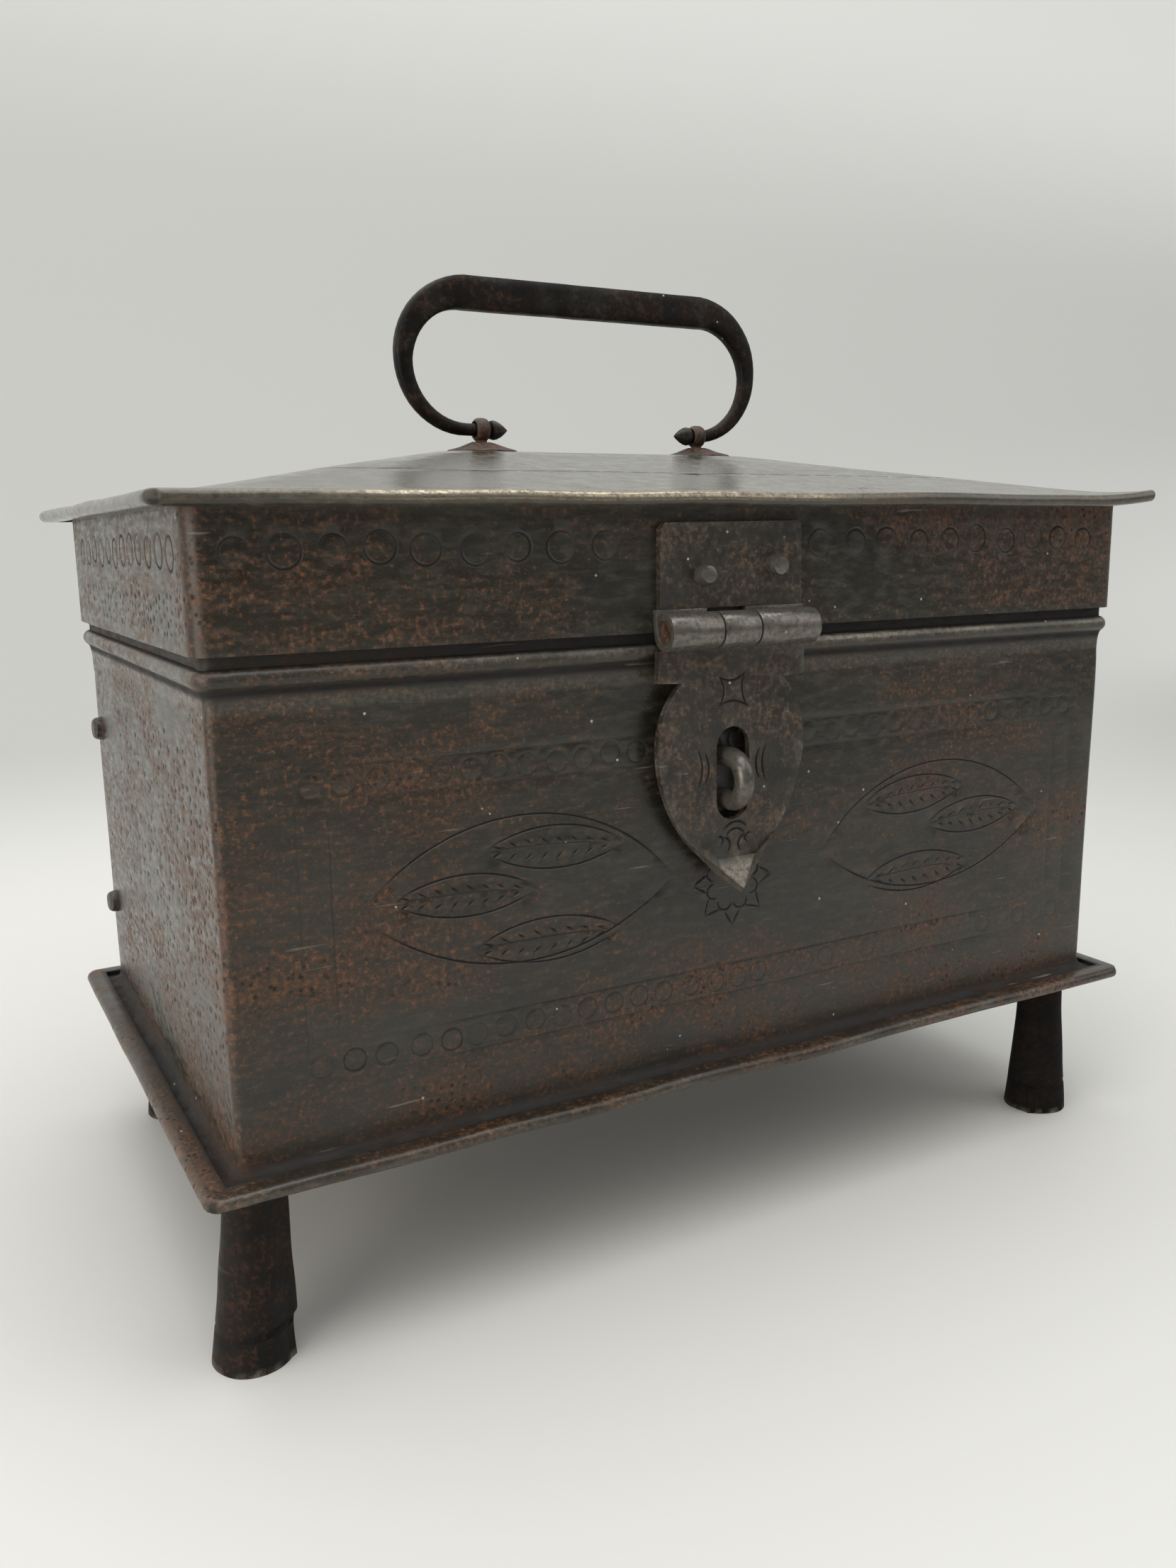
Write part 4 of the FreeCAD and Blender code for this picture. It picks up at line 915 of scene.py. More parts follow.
def rolledFoot(node, lapTurn, hand, lean, paintedShade):
    rim = [v.co / mm for v in frame["nodes"][node].data.vertices if v.co.z < foot["rimSlack"] * mm]
    wayX = 1 if node.endswith("right") else -1
    wayY = 1 if "back" in node else -1
    cx = wayX * (max(wayX * v.x for v in rim) - foot["bottomRadius"])
    cy = (max(v.y for v in rim) + min(v.y for v in rim)) / 2
    points, rubAndGleamLevels, stains = [], [], []
    for r in range(foot["rows"] + 1):
        share = r / foot["rows"]
        z = baseLow[2] * share
        lap = foot["lapDegrees"] * ease((z - foot["lapFoot"]) / foot["lapRun"])  # it stops short of the floor
        radius = foot["bottomRadius"] + (foot["topRadius"] - foot["bottomRadius"]) * share
        radius += foot["flare"] * (4 * share * (share - 1))
        for i in range(foot["steps"] + 1):
            turn = (360.0 + lap) * i / foot["steps"]
            over = sheet * foot["lapStand"] * min(1.0, max(0.0, (turn - foot["lapFrom"]) / foot["lapRise"]))
            angle = math.radians(lapTurn + hand * turn)
            c, s = math.cos(angle), math.sin(angle)
            size, low = foot["bruiseSize"], foot["rimReach"]
            reach = radius + over + dent(cx + size * c, cy + size * s, z, size, foot["bruise"])
            worn = max(0.0, dent(cx + low * c, cy + low * s, 0, foot["rimSize"], foot["rimWear"])) if r == 0 else 0.0
            points.append((cx + lean * (2 * share - 1) + reach * c, cy + reach * s, z + worn))
            rubAndGleamLevels.append(max(0.0, 1 - z / foot["rubHeight"]) * rubPatch(foot, size * c, size * s, cx))
            stains.append(foot["stain"] * share)
    faces = gridFaces(foot["rows"] + 1, foot["steps"] + 1, closedRound=False)
    faces = faces if hand > 0 else [face[::-1] for face in faces]
    # painted shade: the right-hand feet are darkened as though standing in shadow
    marks = {"groove": [paintedShade] * len(points), "rub": rubAndGleamLevels, "stain": stains}
    piece = makePiece(node + "_cone", points, faces, marks, sheet)
    for point in piece.data.vertices:  # the rim stands flat
        point.co.z = max(0.0, point.co.z)
    finishPiece(piece, "body", forgedIron, [node])
    # two tabs go up through the floor and lie flat on it
    points, faces = [], []
    top = foot["topRadius"]
    bendLine = [(top + out, floorZ + up) for out, up in foot["tabBend"]]
    bendLine += [(top + out, floorZ + sheet) for out in foot["tabFlat"]]
    for spread in (-foot["tabSpread"], foot["tabSpread"]):
        turn = math.radians(foot["tabTurn"] + spread)
        first = len(points)
        for reach, z in bendLine:
            for half in (-foot["tabWidth"] / 2, foot["tabWidth"] / 2):
                x, y = reach * math.cos(turn) - half * math.sin(turn), reach * math.sin(turn) + half * math.cos(turn)
                points.append((cx + lean - wayX * x, cy - wayY * y, z))
        for i in range(len(bendLine) - 1):
            face = tuple(first + 2 * i + k for k in (0, 2, 3, 1))
            faces.append(face if wayX * wayY > 0 else face[::-1])
    piece = makePiece(node + "_tabs", points, faces, None, sheet)
    finishPiece(piece, "body", forgedIron, [node])


for row in feet:
    rolledFoot(*row)


# Rolled knuckles of hasp and hinges
barrel = {"radius": 4.0, "bore": 2.4, "closeTurn": 118.0, "steps": 36, "edge": 0.18, "gap": 0.4, "rub": 0.3,
          "backLine": ((0.0, 1.0), (0.05, 0.5), (0.2, 0.2)), "frontLine": ((0.05, 0.3), (0.0, 0.7), (0.0, 1.0))}


def faceY(side, out):  # -1 is the front, 1 the back
    return midY + side * (halfY + out)


def rolledKnuckle(x0, x1, back, front, way, reach):
    # section of the roll as (out, z) round the pin, drawn out from x0 to x1
    end = 360 + barrel["closeTurn"]
    section = [(back + out, reach * share) for out, share in barrel["backLine"]]
    section += arcProfile((axisOut, 0), barrel["radius"], 180, end, barrel["steps"])
    section += arcProfile((axisOut, 0), barrel["bore"], end, 180, barrel["steps"])
    section += [(front + out, reach * share) for out, share in barrel["frontLine"]]
    return [[(x, out, axisZ + way * z) for out, z in section] for x in (x0, x1)]


def solidFromSections(name, parts, side):
    shells = []
    for sections in parts:
        count = len(sections[0])
        near, far = endCaps(2, count)
        points = [(x, faceY(side, out), z) for section in sections for x, out, z in section]
        shells.append((points, gridFaces(2, count) + [near, far[::-1]]))
    points, faces = joinShells(shells)
    marks = {"groove": [0.0] * len(points), "rub": [barrel["rub"]] * len(points)}
    return makePiece(name, points, faces, marks, outward=True, bevel=barrel["edge"])


def inLoop(p, loop):
    inside = False
    for (x0, y0), (x1, y1) in zip(loop, loop[1:] + loop[:1]):
        if (y0 > p[1]) != (y1 > p[1]) and p[0] < (x1 - x0) * (p[1] - y0) / (y1 - y0) + x0:
            inside = not inside
    return inside


def edgeGap(p, loops):
    best = math.inf
    for loop in loops:
        for a, b in zip(loop, loop[1:] + loop[:1]):
            a, b = Vector(a), Vector(b)
            t = max(0.0, min(1.0, (Vector(p) - a).dot(b - a) / max(tiny, (b - a).length_squared)))
            best = min(best, (a.lerp(b, t) - Vector(p)).length)
    return best


plating = {
    "step": 2.6, "edgeClear": 0.6, "waver": 0.12, "waverSize": 13.0, "waverSlice": 5, "rubEdge": 0.8, "rubMean": 0.05,
    "rubMore": 0.8, "rubSize": 5.0, "tipRub": 0.75, "tipMean": 0.4, "tipRun": 1.5, "tipMore": 1.2, "tipSize": 2.0,
    "tipSlice": 3, "sharp": 28.0,
}


def platePiece(name, outline, holes, strokes, side, place, rubBelow=None):
    # flat plate cut to an outline, grooved, then placed by its own bend
    xs, zs = [p[0] for p in outline], [p[1] for p in outline]
    loops, step = [outline] + list(holes), plating["step"]
    onPlate = lambda p: inLoop(p, outline) and not any(inLoop(p, hole) for hole in holes)
    grid = []
    for i in range(int((max(xs) - min(xs)) / step) + 1):
        for k in range(int((max(zs) - min(zs)) / step) + 1):
            p = (min(xs) + i * step, min(zs) + k * step)
            if onPlate(p) and edgeGap(p, loops) > plating["edgeClear"]:
                grid.append(p)
    places, triangles, depths = cutSheet(grid, strokes, loops)
    kept = []
    for face in triangles:
        if onPlate(sum((Vector(places[i]) for i in face), Vector((0, 0))) / len(face)):
            kept.append(tuple(face) if side < 0 else tuple(reversed(face)))
    points, rubAndGleamLevels = [], []
    for (x, height), depth in zip(places, depths):
        out, z = place(x, height)
        lift = dent(x, height, side * plating["waverSlice"], plating["waverSize"], plating["waver"]) - depth
        points.append((x, faceY(side, out + lift), z))
        edge = max(0.0, 1 - edgeGap((x, height), loops) / plating["rubEdge"]) * rubPatch(plating, x, height, 0)
        tip = 0.0
        if rubBelow:
            ragged = dent(x, height, plating["tipSlice"], plating["tipSize"], plating["tipMore"])
            tip = ease((rubBelow - height + ragged) / plating["tipRun"] + plating["tipMean"])
        rubAndGleamLevels.append(max(edge, plating["tipRub"] * tip))
    grooveDirtAndShadeLevels = [min(1.0, depth * meshing["grooveDirt"]) for depth in depths]
    return makePiece(name, points, kept, {"groove": grooveDirtAndShadeLevels, "rub": rubAndGleamLevels}, strap)


def thirds(left, right, shares):
    a = left + shares[0] * (right - left)
    b = right - shares[2] * (right - left)
    half = barrel["gap"] / 2
    return (left, a - half), (a + half, b - half), (b + half, right)


def finishPair(plate, rolls, body, node):
    finishPiece(plate, body, strapIron, [node], sharp=plating["sharp"])
    finishPiece(rolls, body, bareIron, [node])


# Hasp: plate on the skirt, leaf that hangs over the staple
hasp = {
    "plateWidth": 37.4, "plateHeight": 22.8, "overLeft": 0.8, "overRight": 0.6, "knuckleShares": (0.335, 0.25, 0.415),
    "rightWear": ((0.3, 0.6), (0.9, 0.0)), "leftWear": ((1.4, 0.3), (0.2, 1.6)), "plateReach": 4.6, "leafReach": 4.1,
    "leafOut": 0.6, "leafSwell": 0.9, "neckHalf": 13.6, "barHeight": 11.3, "barCorner": 0.4, "barTaper": 0.3,
    "swellDrop": 25.2, "cheekHalf": 12.0, "cheekDrop": 46.3, "sideSteps": 9, "length": 59.0, "tipLength": 7.4,
    "tipAngle": 38.0, "slotWidth": 8.8, "slotHeight": 21.0, "slotDrop": 21.5, "slotSteps": 10, "lineWidth": 0.75,
    "lineDepth": 0.36, "lineStep": 0.9, "starBow": -1.5,
    "star": ((-4.0, -10.2), (3.4, -9.4), (4.4, -17.8), (-4.0, -17.0)),
    # start, end, rise and shift of the arcs on both sides, then those under the slot
    "sideArcs": (((7.5, -34.0), (7.5, -26.8), 1.2, 0.0), ((9.3, -34.8), (9.3, -26.0), 1.2, 0.0),
                 ((3.0, -46.4), (2.0, -50.0), -1.4, 0.6), ((4.8, -46.4), (3.8, -48.2), -1.4, 0.6)),
    "lowArcs": (((-2.3, -44.8), (4.1, -44.8), 1.7), ((-1.7, -46.4), (3.5, -46.4), 1.7)),
}
haspX = haspAxis[0]
plateLeft, plateRight = haspX - hasp["plateWidth"] / 2, haspX + hasp["plateWidth"] / 2
knuckles = thirds(plateLeft - hasp["overLeft"], plateRight + hasp["overRight"], hasp["knuckleShares"])
low, high = axisZ + hasp["plateReach"], axisZ + hasp["plateHeight"]
outline = [(plateLeft, low), (plateRight, low)] + [(plateRight - dx, high - dz) for dx, dz in hasp["rightWear"]]
outline += [(plateLeft + dx, high - dz) for dx, dz in hasp["leftWear"]]
plate = platePiece("hasp_plate_sheet", outline, [], [], -1, lambda x, z: (strap, z))
parts = [rolledKnuckle(a, b, 0.0, strap, 1, hasp["plateReach"]) for a, b in (knuckles[0], knuckles[2])]
finishPair(plate, solidFromSections("hasp_plate_rolls", parts, -1), "lid", "hasp_plate")


def leafOutline():
    half = hasp["plateWidth"] / 2 + hasp["leafSwell"]
    neck = (hasp["neckHalf"], axisZ - hasp["barHeight"])
    swell = (half, axisZ - hasp["swellDrop"])
    cheek = (hasp["cheekHalf"], axisZ - hasp["cheekDrop"])

    def side(end):
        across, up = swell[0] - end[0], end[1] - swell[1]
        radius = (across ** 2 + up ** 2) / (2 * across)
        turn = math.degrees(math.asin(up / radius))
        return arcProfile((swell[0] - radius, swell[1]), radius, 0, turn, hasp["sideSteps"])

    right = side(cheek)[::-1] + side(neck)[1:]
    right += [(half, neck[1] + hasp["barCorner"]), (half - hasp["barTaper"], axisZ - hasp["leafReach"])]
    left = [(-x, z) for x, z in reversed(right)]
    return [(x + haspX, z) for x, z in [(0, axisZ - hasp["length"])] + right + left]


def leafSlot():
    radius, steps = hasp["slotWidth"] / 2, hasp["slotSteps"]
    top = axisZ - hasp["slotDrop"] - radius
    low = axisZ - hasp["slotDrop"] - hasp["slotHeight"] + radius
    ends = arcProfile((0, low), radius, 180, 360, steps) + arcProfile((0, top), radius, 0, 180, steps)
    return [(haspX + x, z) for x, z in ends]


def leafStrokes():
    star = hasp["star"]
    arcs = [(a, b, hasp["starBow"]) for a, b in zip(star, star[1:] + star[:1])]
    for side in (1, -1):
        for a, b, rise, shift in hasp["sideArcs"]:
            arcs.append(((side * a[0] + shift, a[1]), (side * b[0] + shift, b[1]), side * rise))
    strokes = []
    for a, b, rise in arcs + list(hasp["lowArcs"]):
        ends = [(haspX + x, axisZ + z) for x, z in (a, b)]
        strokes.append((arcLine(*ends, rise, hasp["lineStep"]), False, hasp["lineWidth"], hasp["lineDepth"]))
    return strokes


tipZ = axisZ - hasp["length"] + hasp["tipLength"]  # below this the leaf is turned out


def leafPlace(x, z):
    front = hasp["leafOut"] + strap
    past = tipZ - z
    if past <= 0:
        return front, z
    turn = math.radians(hasp["tipAngle"])
    return front + past * math.sin(turn), tipZ - past * math.cos(turn)


leaf = platePiece("hasp_leaf_sheet", leafOutline(), [leafSlot()], leafStrokes(), -1, leafPlace, rubBelow=tipZ)
parts = [rolledKnuckle(*knuckles[1], hasp["leafOut"], hasp["leafOut"] + strap, -1, hasp["leafReach"])]
finishPair(leaf, solidFromSections("hasp_leaf_roll", parts, -1), "hasp", "hasp_leaf")


# Back hinges: leaf on the lid, joggled strap on the wall
hinge = {"span": 132.0, "width": 30.0, "shares": (0.33, 0.34, 0.33), "leafHeight": 21.0, "leafCut": 1.5, "reach": 4.6,
         "strapLength": 42.0, "strapCut": 2.5, "strapReach": 4.2, "joggleMargin": 1.5, "joggleTop": 3.0}
coveZ, crestZ = skirtZ - wall["coveDrop"], skirtZ - hinge["joggleTop"]


def strapPlace(x, z):
    share = min(1.0, max(0.0, (crestZ - z) / (crestZ - coveZ + hinge["joggleMargin"])))
    inward = (1 - math.cos(math.pi * share)) / 2
    return barrel["gap"] + strap - inward * (barrel["gap"] + chest["wallSetIn"]), z


def cutCorners(left, right, low, high, cut):
    return [(left + cut, low), (right - cut, low), (right, low + cut), (right, high), (left, high), (left, low + cut)]


for name, x in (("left", -hinge["span"] / 2), ("right", hinge["span"] / 2)):
    left, right = x - hinge["width"] / 2, x + hinge["width"] / 2
    knuckles = thirds(left, right, hinge["shares"])
    box = cutCorners(left, right, -axisZ - hinge["leafHeight"], -axisZ - hinge["reach"], hinge["leafCut"])
    outline = [(px, -pz) for px, pz in reversed(box)]
    plate = platePiece(f"hinge_{name}_lid_plate", outline, [], [], 1, lambda px, pz: (strap, pz))
    parts = [rolledKnuckle(*knuckles[1], 0.0, strap, 1, hinge["reach"])]
    rolls = solidFromSections(f"hinge_{name}_lid_roll", parts, 1)
    finishPair(plate, rolls, "lid", f"hinge_{name}_lid_leaf")
    outline = cutCorners(left, right, axisZ - hinge["strapLength"], axisZ - hinge["strapReach"], hinge["strapCut"])
    plate = platePiece(f"hinge_{name}_strap", outline, [], [], 1, strapPlace)
    parts = [rolledKnuckle(a, b, barrel["gap"], barrel["gap"] + strap, -1, hinge["strapReach"])
             for a, b in (knuckles[0], knuckles[2])]
    rolls = solidFromSections(f"hinge_{name}_strap_rolls", parts, 1)
    finishPair(plate, rolls, "body", f"hinge_{name}_body_leaf")


# Rivets: hammered pegs set on points by one node tree
rivets = {
    "tailRadius": 2.4, "tailHeight": 0.8, "shank": 1.5, "sizeSpread": 0.06, "tiltSpread": 0.12, "spin": 3.1,
    "tailShares": ((0.0, 1.0), (0.7, 1.0), (1.0, 0.3125), (0.96, 0.0)), "steps": 18, "rub": 0.15, "sharp": 40.0,
    "headShares": ((1.04, 0.0), (1.0, 0.3), (0.95, 0.72), (0.8, 0.93), (0.45, 1.0), (0.0, 0.97)), "bruise": 0.07,
    "bruiseRound": 1.4, "bruiseUp": 0.9, "tall": (2.3, 3.2), "flat": (2.9, 1.8), "seam": (2.9, 2.2),  # radius, height
}


def rivetMesh(name, head, height, grip):
    line = [(rivets["tailRadius"] * r, -grip - rivets["tailHeight"] * z) for r, z in rivets["tailShares"]]
    line += [(rivets["shank"], -grip), (rivets["shank"], 0.0)]
    line += [(head * r, height * z) for r, z in rivets["headShares"]]
    points, count = [], rivets["steps"]
    for radius, z in line:
        for i in range(count):
            turn = 2 * math.pi * i / count
            c, s = math.cos(turn), math.sin(turn)
            place = Vector((c * rivets["bruiseRound"], s * rivets["bruiseRound"], z * rivets["bruiseUp"]))
            bruise = 1 + rivets["bruise"] * noise.noise(place)
            points.append((radius * bruise * c, radius * bruise * s, z))
    return makePiece(name, points, gridFaces(len(line), count), {"rub": [rivets["rub"]] * len(points)}, outward=True)


def rivetTree(material):
    tree = bpy.data.node_groups.new("rivets on points", "GeometryNodeTree")
    sockets = {}
    for label, kind in (("Points", "Geometry"), ("Rivet", "Object"), ("Size spread", "Float"), ("Tilt spread", "Float"),
                        ("Seed", "Int")):
        socket = tree.interface.new_socket(name=label, in_out="INPUT", socket_type="NodeSocket" + kind)
        sockets[label] = socket.identifier
    tree.interface.new_socket(name="Rivets", in_out="OUTPUT", socket_type="NodeSocketGeometry")
    start = addNode(tree, "NodeGroupInput", {}).outputs
    info = addNode(tree, "GeometryNodeObjectInfo", {"Object": start["Rivet"], "As Instance": True})
    axis = addNode(tree, "GeometryNodeInputNamedAttribute", {"Name": "axis"}, data_type="FLOAT_VECTOR")
    turned = addNode(tree, "FunctionNodeAlignRotationToVector", {"Vector": axis.outputs["Attribute"]}, axis="Z")
    spread = {"X": start["Tilt spread"], "Y": start["Tilt spread"], "Z": rivets["spin"]}
    most = addNode(tree, "ShaderNodeCombineXYZ", spread)
    least = addNode(tree, "ShaderNodeVectorMath", {0: most.outputs[0], "Scale": -1.0}, operation="SCALE")
    limits = {"Min": least.outputs[0], "Max": most.outputs[0], "Seed": start["Seed"]}
    tilt = addNode(tree, "FunctionNodeRandomValue", limits, data_type="FLOAT_VECTOR")
    spin = addNode(tree, "FunctionNodeEulerToRotation", {0: tilt.outputs[0]})
    turns = {0: turned.outputs[0], 1: spin.outputs[0]}
    both = addNode(tree, "FunctionNodeRotateRotation", turns, rotation_space="LOCAL")
    big = addNode(tree, "ShaderNodeMath", {0: 1.0, 1: start["Size spread"]}, operation="ADD")
    small = addNode(tree, "ShaderNodeMath", {0: 1.0, 1: start["Size spread"]}, operation="SUBTRACT")
    limits = {2: small.outputs[0], 3: big.outputs[0], "Seed": start["Seed"]}
    size = addNode(tree, "FunctionNodeRandomValue", limits, data_type="FLOAT")
    copies = addNode(tree, "GeometryNodeInstanceOnPoints", {
        "Points": start["Points"], "Instance": info.outputs["Geometry"], "Rotation": both.outputs[0],
        "Scale": size.outputs[1]})
    whole = addNode(tree, "GeometryNodeRealizeInstances", {0: copies.outputs[0]})
    coat = addNode(tree, "GeometryNodeSetMaterial", {"Geometry": whole.outputs[0], "Material": material})
    addNode(tree, "NodeGroupOutput", {0: coat.outputs[0]})
    return tree, sockets


pegTree, pegSocket = rivetTree(bareIron)


def setRivets(name, places, axis, peg, body, node, seed, material):
    mesh = bpy.data.meshes.new(name)
    mesh.from_pydata([Vector(p) * mm for p in places], [], [])
    mesh.attributes.new("axis", "FLOAT_VECTOR", "POINT").data.foreach_set("vector", list(axis) * len(places))
    piece = linkObject(name, mesh)
    nodes = piece.modifiers.new("rivets", "NODES")
    nodes.node_group = pegTree
    nodes[pegSocket["Rivet"]] = peg
    nodes[pegSocket["Size spread"]] = rivets["sizeSpread"]
    nodes[pegSocket["Tilt spread"]] = rivets["tiltSpread"]
    nodes[pegSocket["Seed"]] = seed
    settle(piece)
    finishPiece(piece, body, material, [node], rivets["sharp"])


rivetPlaces = {"haspSpan": 19.0, "haspShift": 1.6, "haspSkew": 1.0, "skirtRise": 12.4, "hingeSpan": 14.0,
               "strapFoot": 5.8, "strapPitch": 13.0, "seamShares": (0.19, 0.72)}
tall = rivetMesh("tall_peg", *rivets["tall"], strap + sheet)
flat = rivetMesh("flat_peg", *rivets["flat"], strap + sheet)
seam = rivetMesh("seam_peg", *rivets["seam"], 2 * sheet)
skirtRow = axisZ + rivetPlaces["skirtRise"]
middle = haspX + rivetPlaces["haspShift"]
places = [(middle + way * rivetPlaces["haspSpan"] / 2, faceY(-1, strap), skirtRow + way * rivetPlaces["haspSkew"])
          for way in (-1, 1)]
setRivets("hasp_pegs", places, (0, -1, 0), tall, "lid", "hasp_plate_rivets", 2, bareIron)
hingeX = [way * hinge["span"] / 2 for way in (-1, 1)]
places = [(x + way * rivetPlaces["hingeSpan"] / 2, faceY(1, strap), skirtRow) for x in hingeX for way in (-1, 1)]
setRivets("hinge_lid_pegs", places, (0, 1, 0), flat, "lid", "hinge_lid_rivets", 5, strapIron)
strapFoot = axisZ - hinge["strapLength"] + rivetPlaces["strapFoot"]
places = [(x, faceY(1, strap - chest["wallSetIn"]), strapFoot + i * rivetPlaces["strapPitch"])
          for x in hingeX for i in range(2)]
setRivets("hinge_strap_pegs", places, (0, 1, 0), flat, "body", "hinge_body_rivets", 8, strapIron)
seamLow, seamHigh = nodeBox("wall_seam_rivets")
wallRise = coveZ - floorZ
places = [(-halfX + chest["wallSetIn"], (seamLow[1] + seamHigh[1]) / 2, coveZ - wallRise * share)
          for share in rivetPlaces["seamShares"]]
setRivets("seam_pegs", places, (-1, 0, 0), seam, "body", "wall_seam_rivets", 11, strapIron)
for peg in (tall, flat, seam):
    bpy.data.objects.remove(peg)


# Handle: bar drawn down to round ends, hooked through the eyes
bail = {
    "eyeSpan": 64.4, "leftBend": 36.0, "rightBend": 32.4, "bendRadius": 16.0, "rodReach": 2.2, "rod": 3.0,
    "sideDepth": 4.4, "sideThick": 3.6, "topDepth": 8.0, "topThick": 4.4, "pointRadius": 2.4, "pointLength": 5.0,
    "pointShares": ((1.0, 0.06), (0.86, 0.36), (0.66, 0.68), (0.42, 0.92), (0.22, 1.0), (0.06, 0.92), (0.0, 0.66)),
    "facetsFrom": 0.1, "around": 28, "rodSteps": 4, "bendSteps": 26, "gripSteps": 30, "round": 2.0, "sideSquare": 1.2,
    "topSquare": 2.2, "gripSquare": 5.4, "hammer": 0.11, "hammerSize": 7.0, "hammerFull": 4.0, "rub": 0.10,
    "rubMean": 0.0, "rubMore": 1.4, "rubSize": 6.0, "pointRub": 0.12, "sharp": 42.0,
}


def bailStations():
    # x, z, direction, depth, thickness, squareness, six-sided share
    eye = bail["eyeSpan"] / 2 - bail["rodReach"]
    rod = (bail["rod"], bail["rod"])
    flank, top = (bail["sideDepth"], bail["sideThick"]), (bail["topDepth"], bail["topThick"])
    point = []
    for share, radius in bail["pointShares"]:
        size = 2 * radius * bail["pointRadius"]
        facets = 1.0 if share > bail["facetsFrom"] else 0.0
        point.append((eye - bail["pointLength"] * share, 0.0, 0.0, size, size, bail["round"], facets))
    mix = lambda a, b, t: tuple(p + (q - p) * t for p, q in zip(a, b))

    def side(bend):
        radius, steps = bail["bendRadius"], bail["rodSteps"]
        line = list(point)
        line += [(eye + (bend - eye) * i / steps, 0.0, 0.0) + rod + (bail["round"], 0.0) for i in range(1, steps)]
        for i in range(bail["bendSteps"] + 1):
            share = 2 * i / bail["bendSteps"]
            size = mix(rod, flank, share) if share <= 1 else mix(flank, top, share - 1)
            turn = math.radians(90 * share)
            square = bail["round"] + bail["sideSquare"] * min(1.0, share) + bail["topSquare"] * max(0.0, share - 1)
            line.append((bend + radius * math.sin(turn), radius * (1 - math.cos(turn)), turn) + size + (square, 0.0))
        return line

    right, left = side(bail["rightBend"]), side(bail["leftBend"])
    grip = []
    for i in range(1, bail["gripSteps"]):
        x = bail["rightBend"] - (bail["rightBend"] + bail["leftBend"]) * i / bail["gripSteps"]
        grip.append((x, 2 * bail["bendRadius"], math.pi) + top + (bail["gripSquare"], 0.0))
    mirrored = [(-x, z, 2 * math.pi - turn) + tuple(rest) for x, z, turn, *rest in reversed(left)]
    return right + grip + mirrored


def bailMesh():
    points, rubAndGleamLevels = [], []
    count, stations = bail["around"], bailStations()
    for x, z, turn, depth, thick, square, six in stations:
        outX, outZ = math.sin(turn), -math.cos(turn)  # away from the inside of the bend
        place = lambda u, w: (bailAxis[0] + x + outX * u, bailAxis[1] + w, bailAxis[2] + z + outZ * u)
        for i in range(count):
            a = 2 * math.pi * i / count
            c, s = math.cos(a), math.sin(a)
            r = (abs(c) ** square + abs(s) ** square) ** (-1 / square)
            part = (a % (math.pi / 3)) - math.pi / 6
            r *= 1 - six + six * math.cos(math.pi / 6) / math.cos(part)
            u, w = r * c * depth / 2, r * s * thick / 2
            at = place(u, w)
            blow = dent(*at, bail["hammerSize"], bail["hammer"]) * 2 / (depth + thick)
            grow = 1 + blow * min(1.0, thick / bail["hammerFull"])
            points.append(place(u * grow, w * grow))
            rubAndGleamLevels.append(bail["rub"] * rubPatch(bail, *at) if six == 0 else bail["pointRub"])
    faces = gridFaces(len(stations), count) + endCaps(len(stations), count)
    return makePiece("bail_bar", points, faces, {"groove": [0.0] * len(points), "rub": rubAndGleamLevels}, outward=True)


finishPiece(bailMesh(), "handle", forgedIron, ["handle_bail"], sharp=bail["sharp"])

# Eyes: rod bent round the bail, its two legs spread inside the lid; rosettes: hammered washers under them
fitting = {
    "width": 3.6, "ring": 2.9, "ringEdge": 2.15, "hole": 1.9, "seat": 0.1, "flatShare": 0.35, "roundShare": 0.75,
    "roundDrop": 0.92, "holeShare": 0.9, "shank": 1.4, "shankRise": 1.0, "shankIn": 0.35, "shankSwell": 1.05,
    "legRadius": 0.9, "legLength": 8.0, "legEnd": 0.5, "legTaper": 0.8, "steps": (28, 16, 12), "eyeSharp": 40.0,
    "rosette": 9.2, "rosetteRise": 2.8, "lobes": 8, "valley": 0.87, "valleyDrop": 0.16, "around": 64, "hammer": 0.22,
    "hammerSize": 2.2, "hammerFrom": 0.2, "rosetteSharp": 28.0,
    "rosetteRows": ((0.16, 1.0), (0.25, 1.0), (0.4, 0.86), (0.6, 0.62), (0.8, 0.40), (0.95, 0.27), (1.0, 0.18),
                    (1.0, 0.0), (0.6, 0.0), (0.16, 0.0)),  # shares of radius and rise
}
eyeX, eyeY, eyeZ = bailAxis
seatZ = eyeZ - fitting["ring"] - fitting["seat"] - fitting["rosetteRise"]  # where the rosettes lie on the lid


def latheAlong(line, place, steps, closed):
    # line holds (along, radius); place turns (along, side, up) into a point
    points = []
    for along, radius in line:
        for i in range(steps):
            turn = 2 * math.pi * i / steps
            points.append(place(along, radius * math.cos(turn), radius * math.sin(turn)))
    return points, gridFaces(len(line), steps, closed) + ([] if closed else endCaps(len(line), steps))


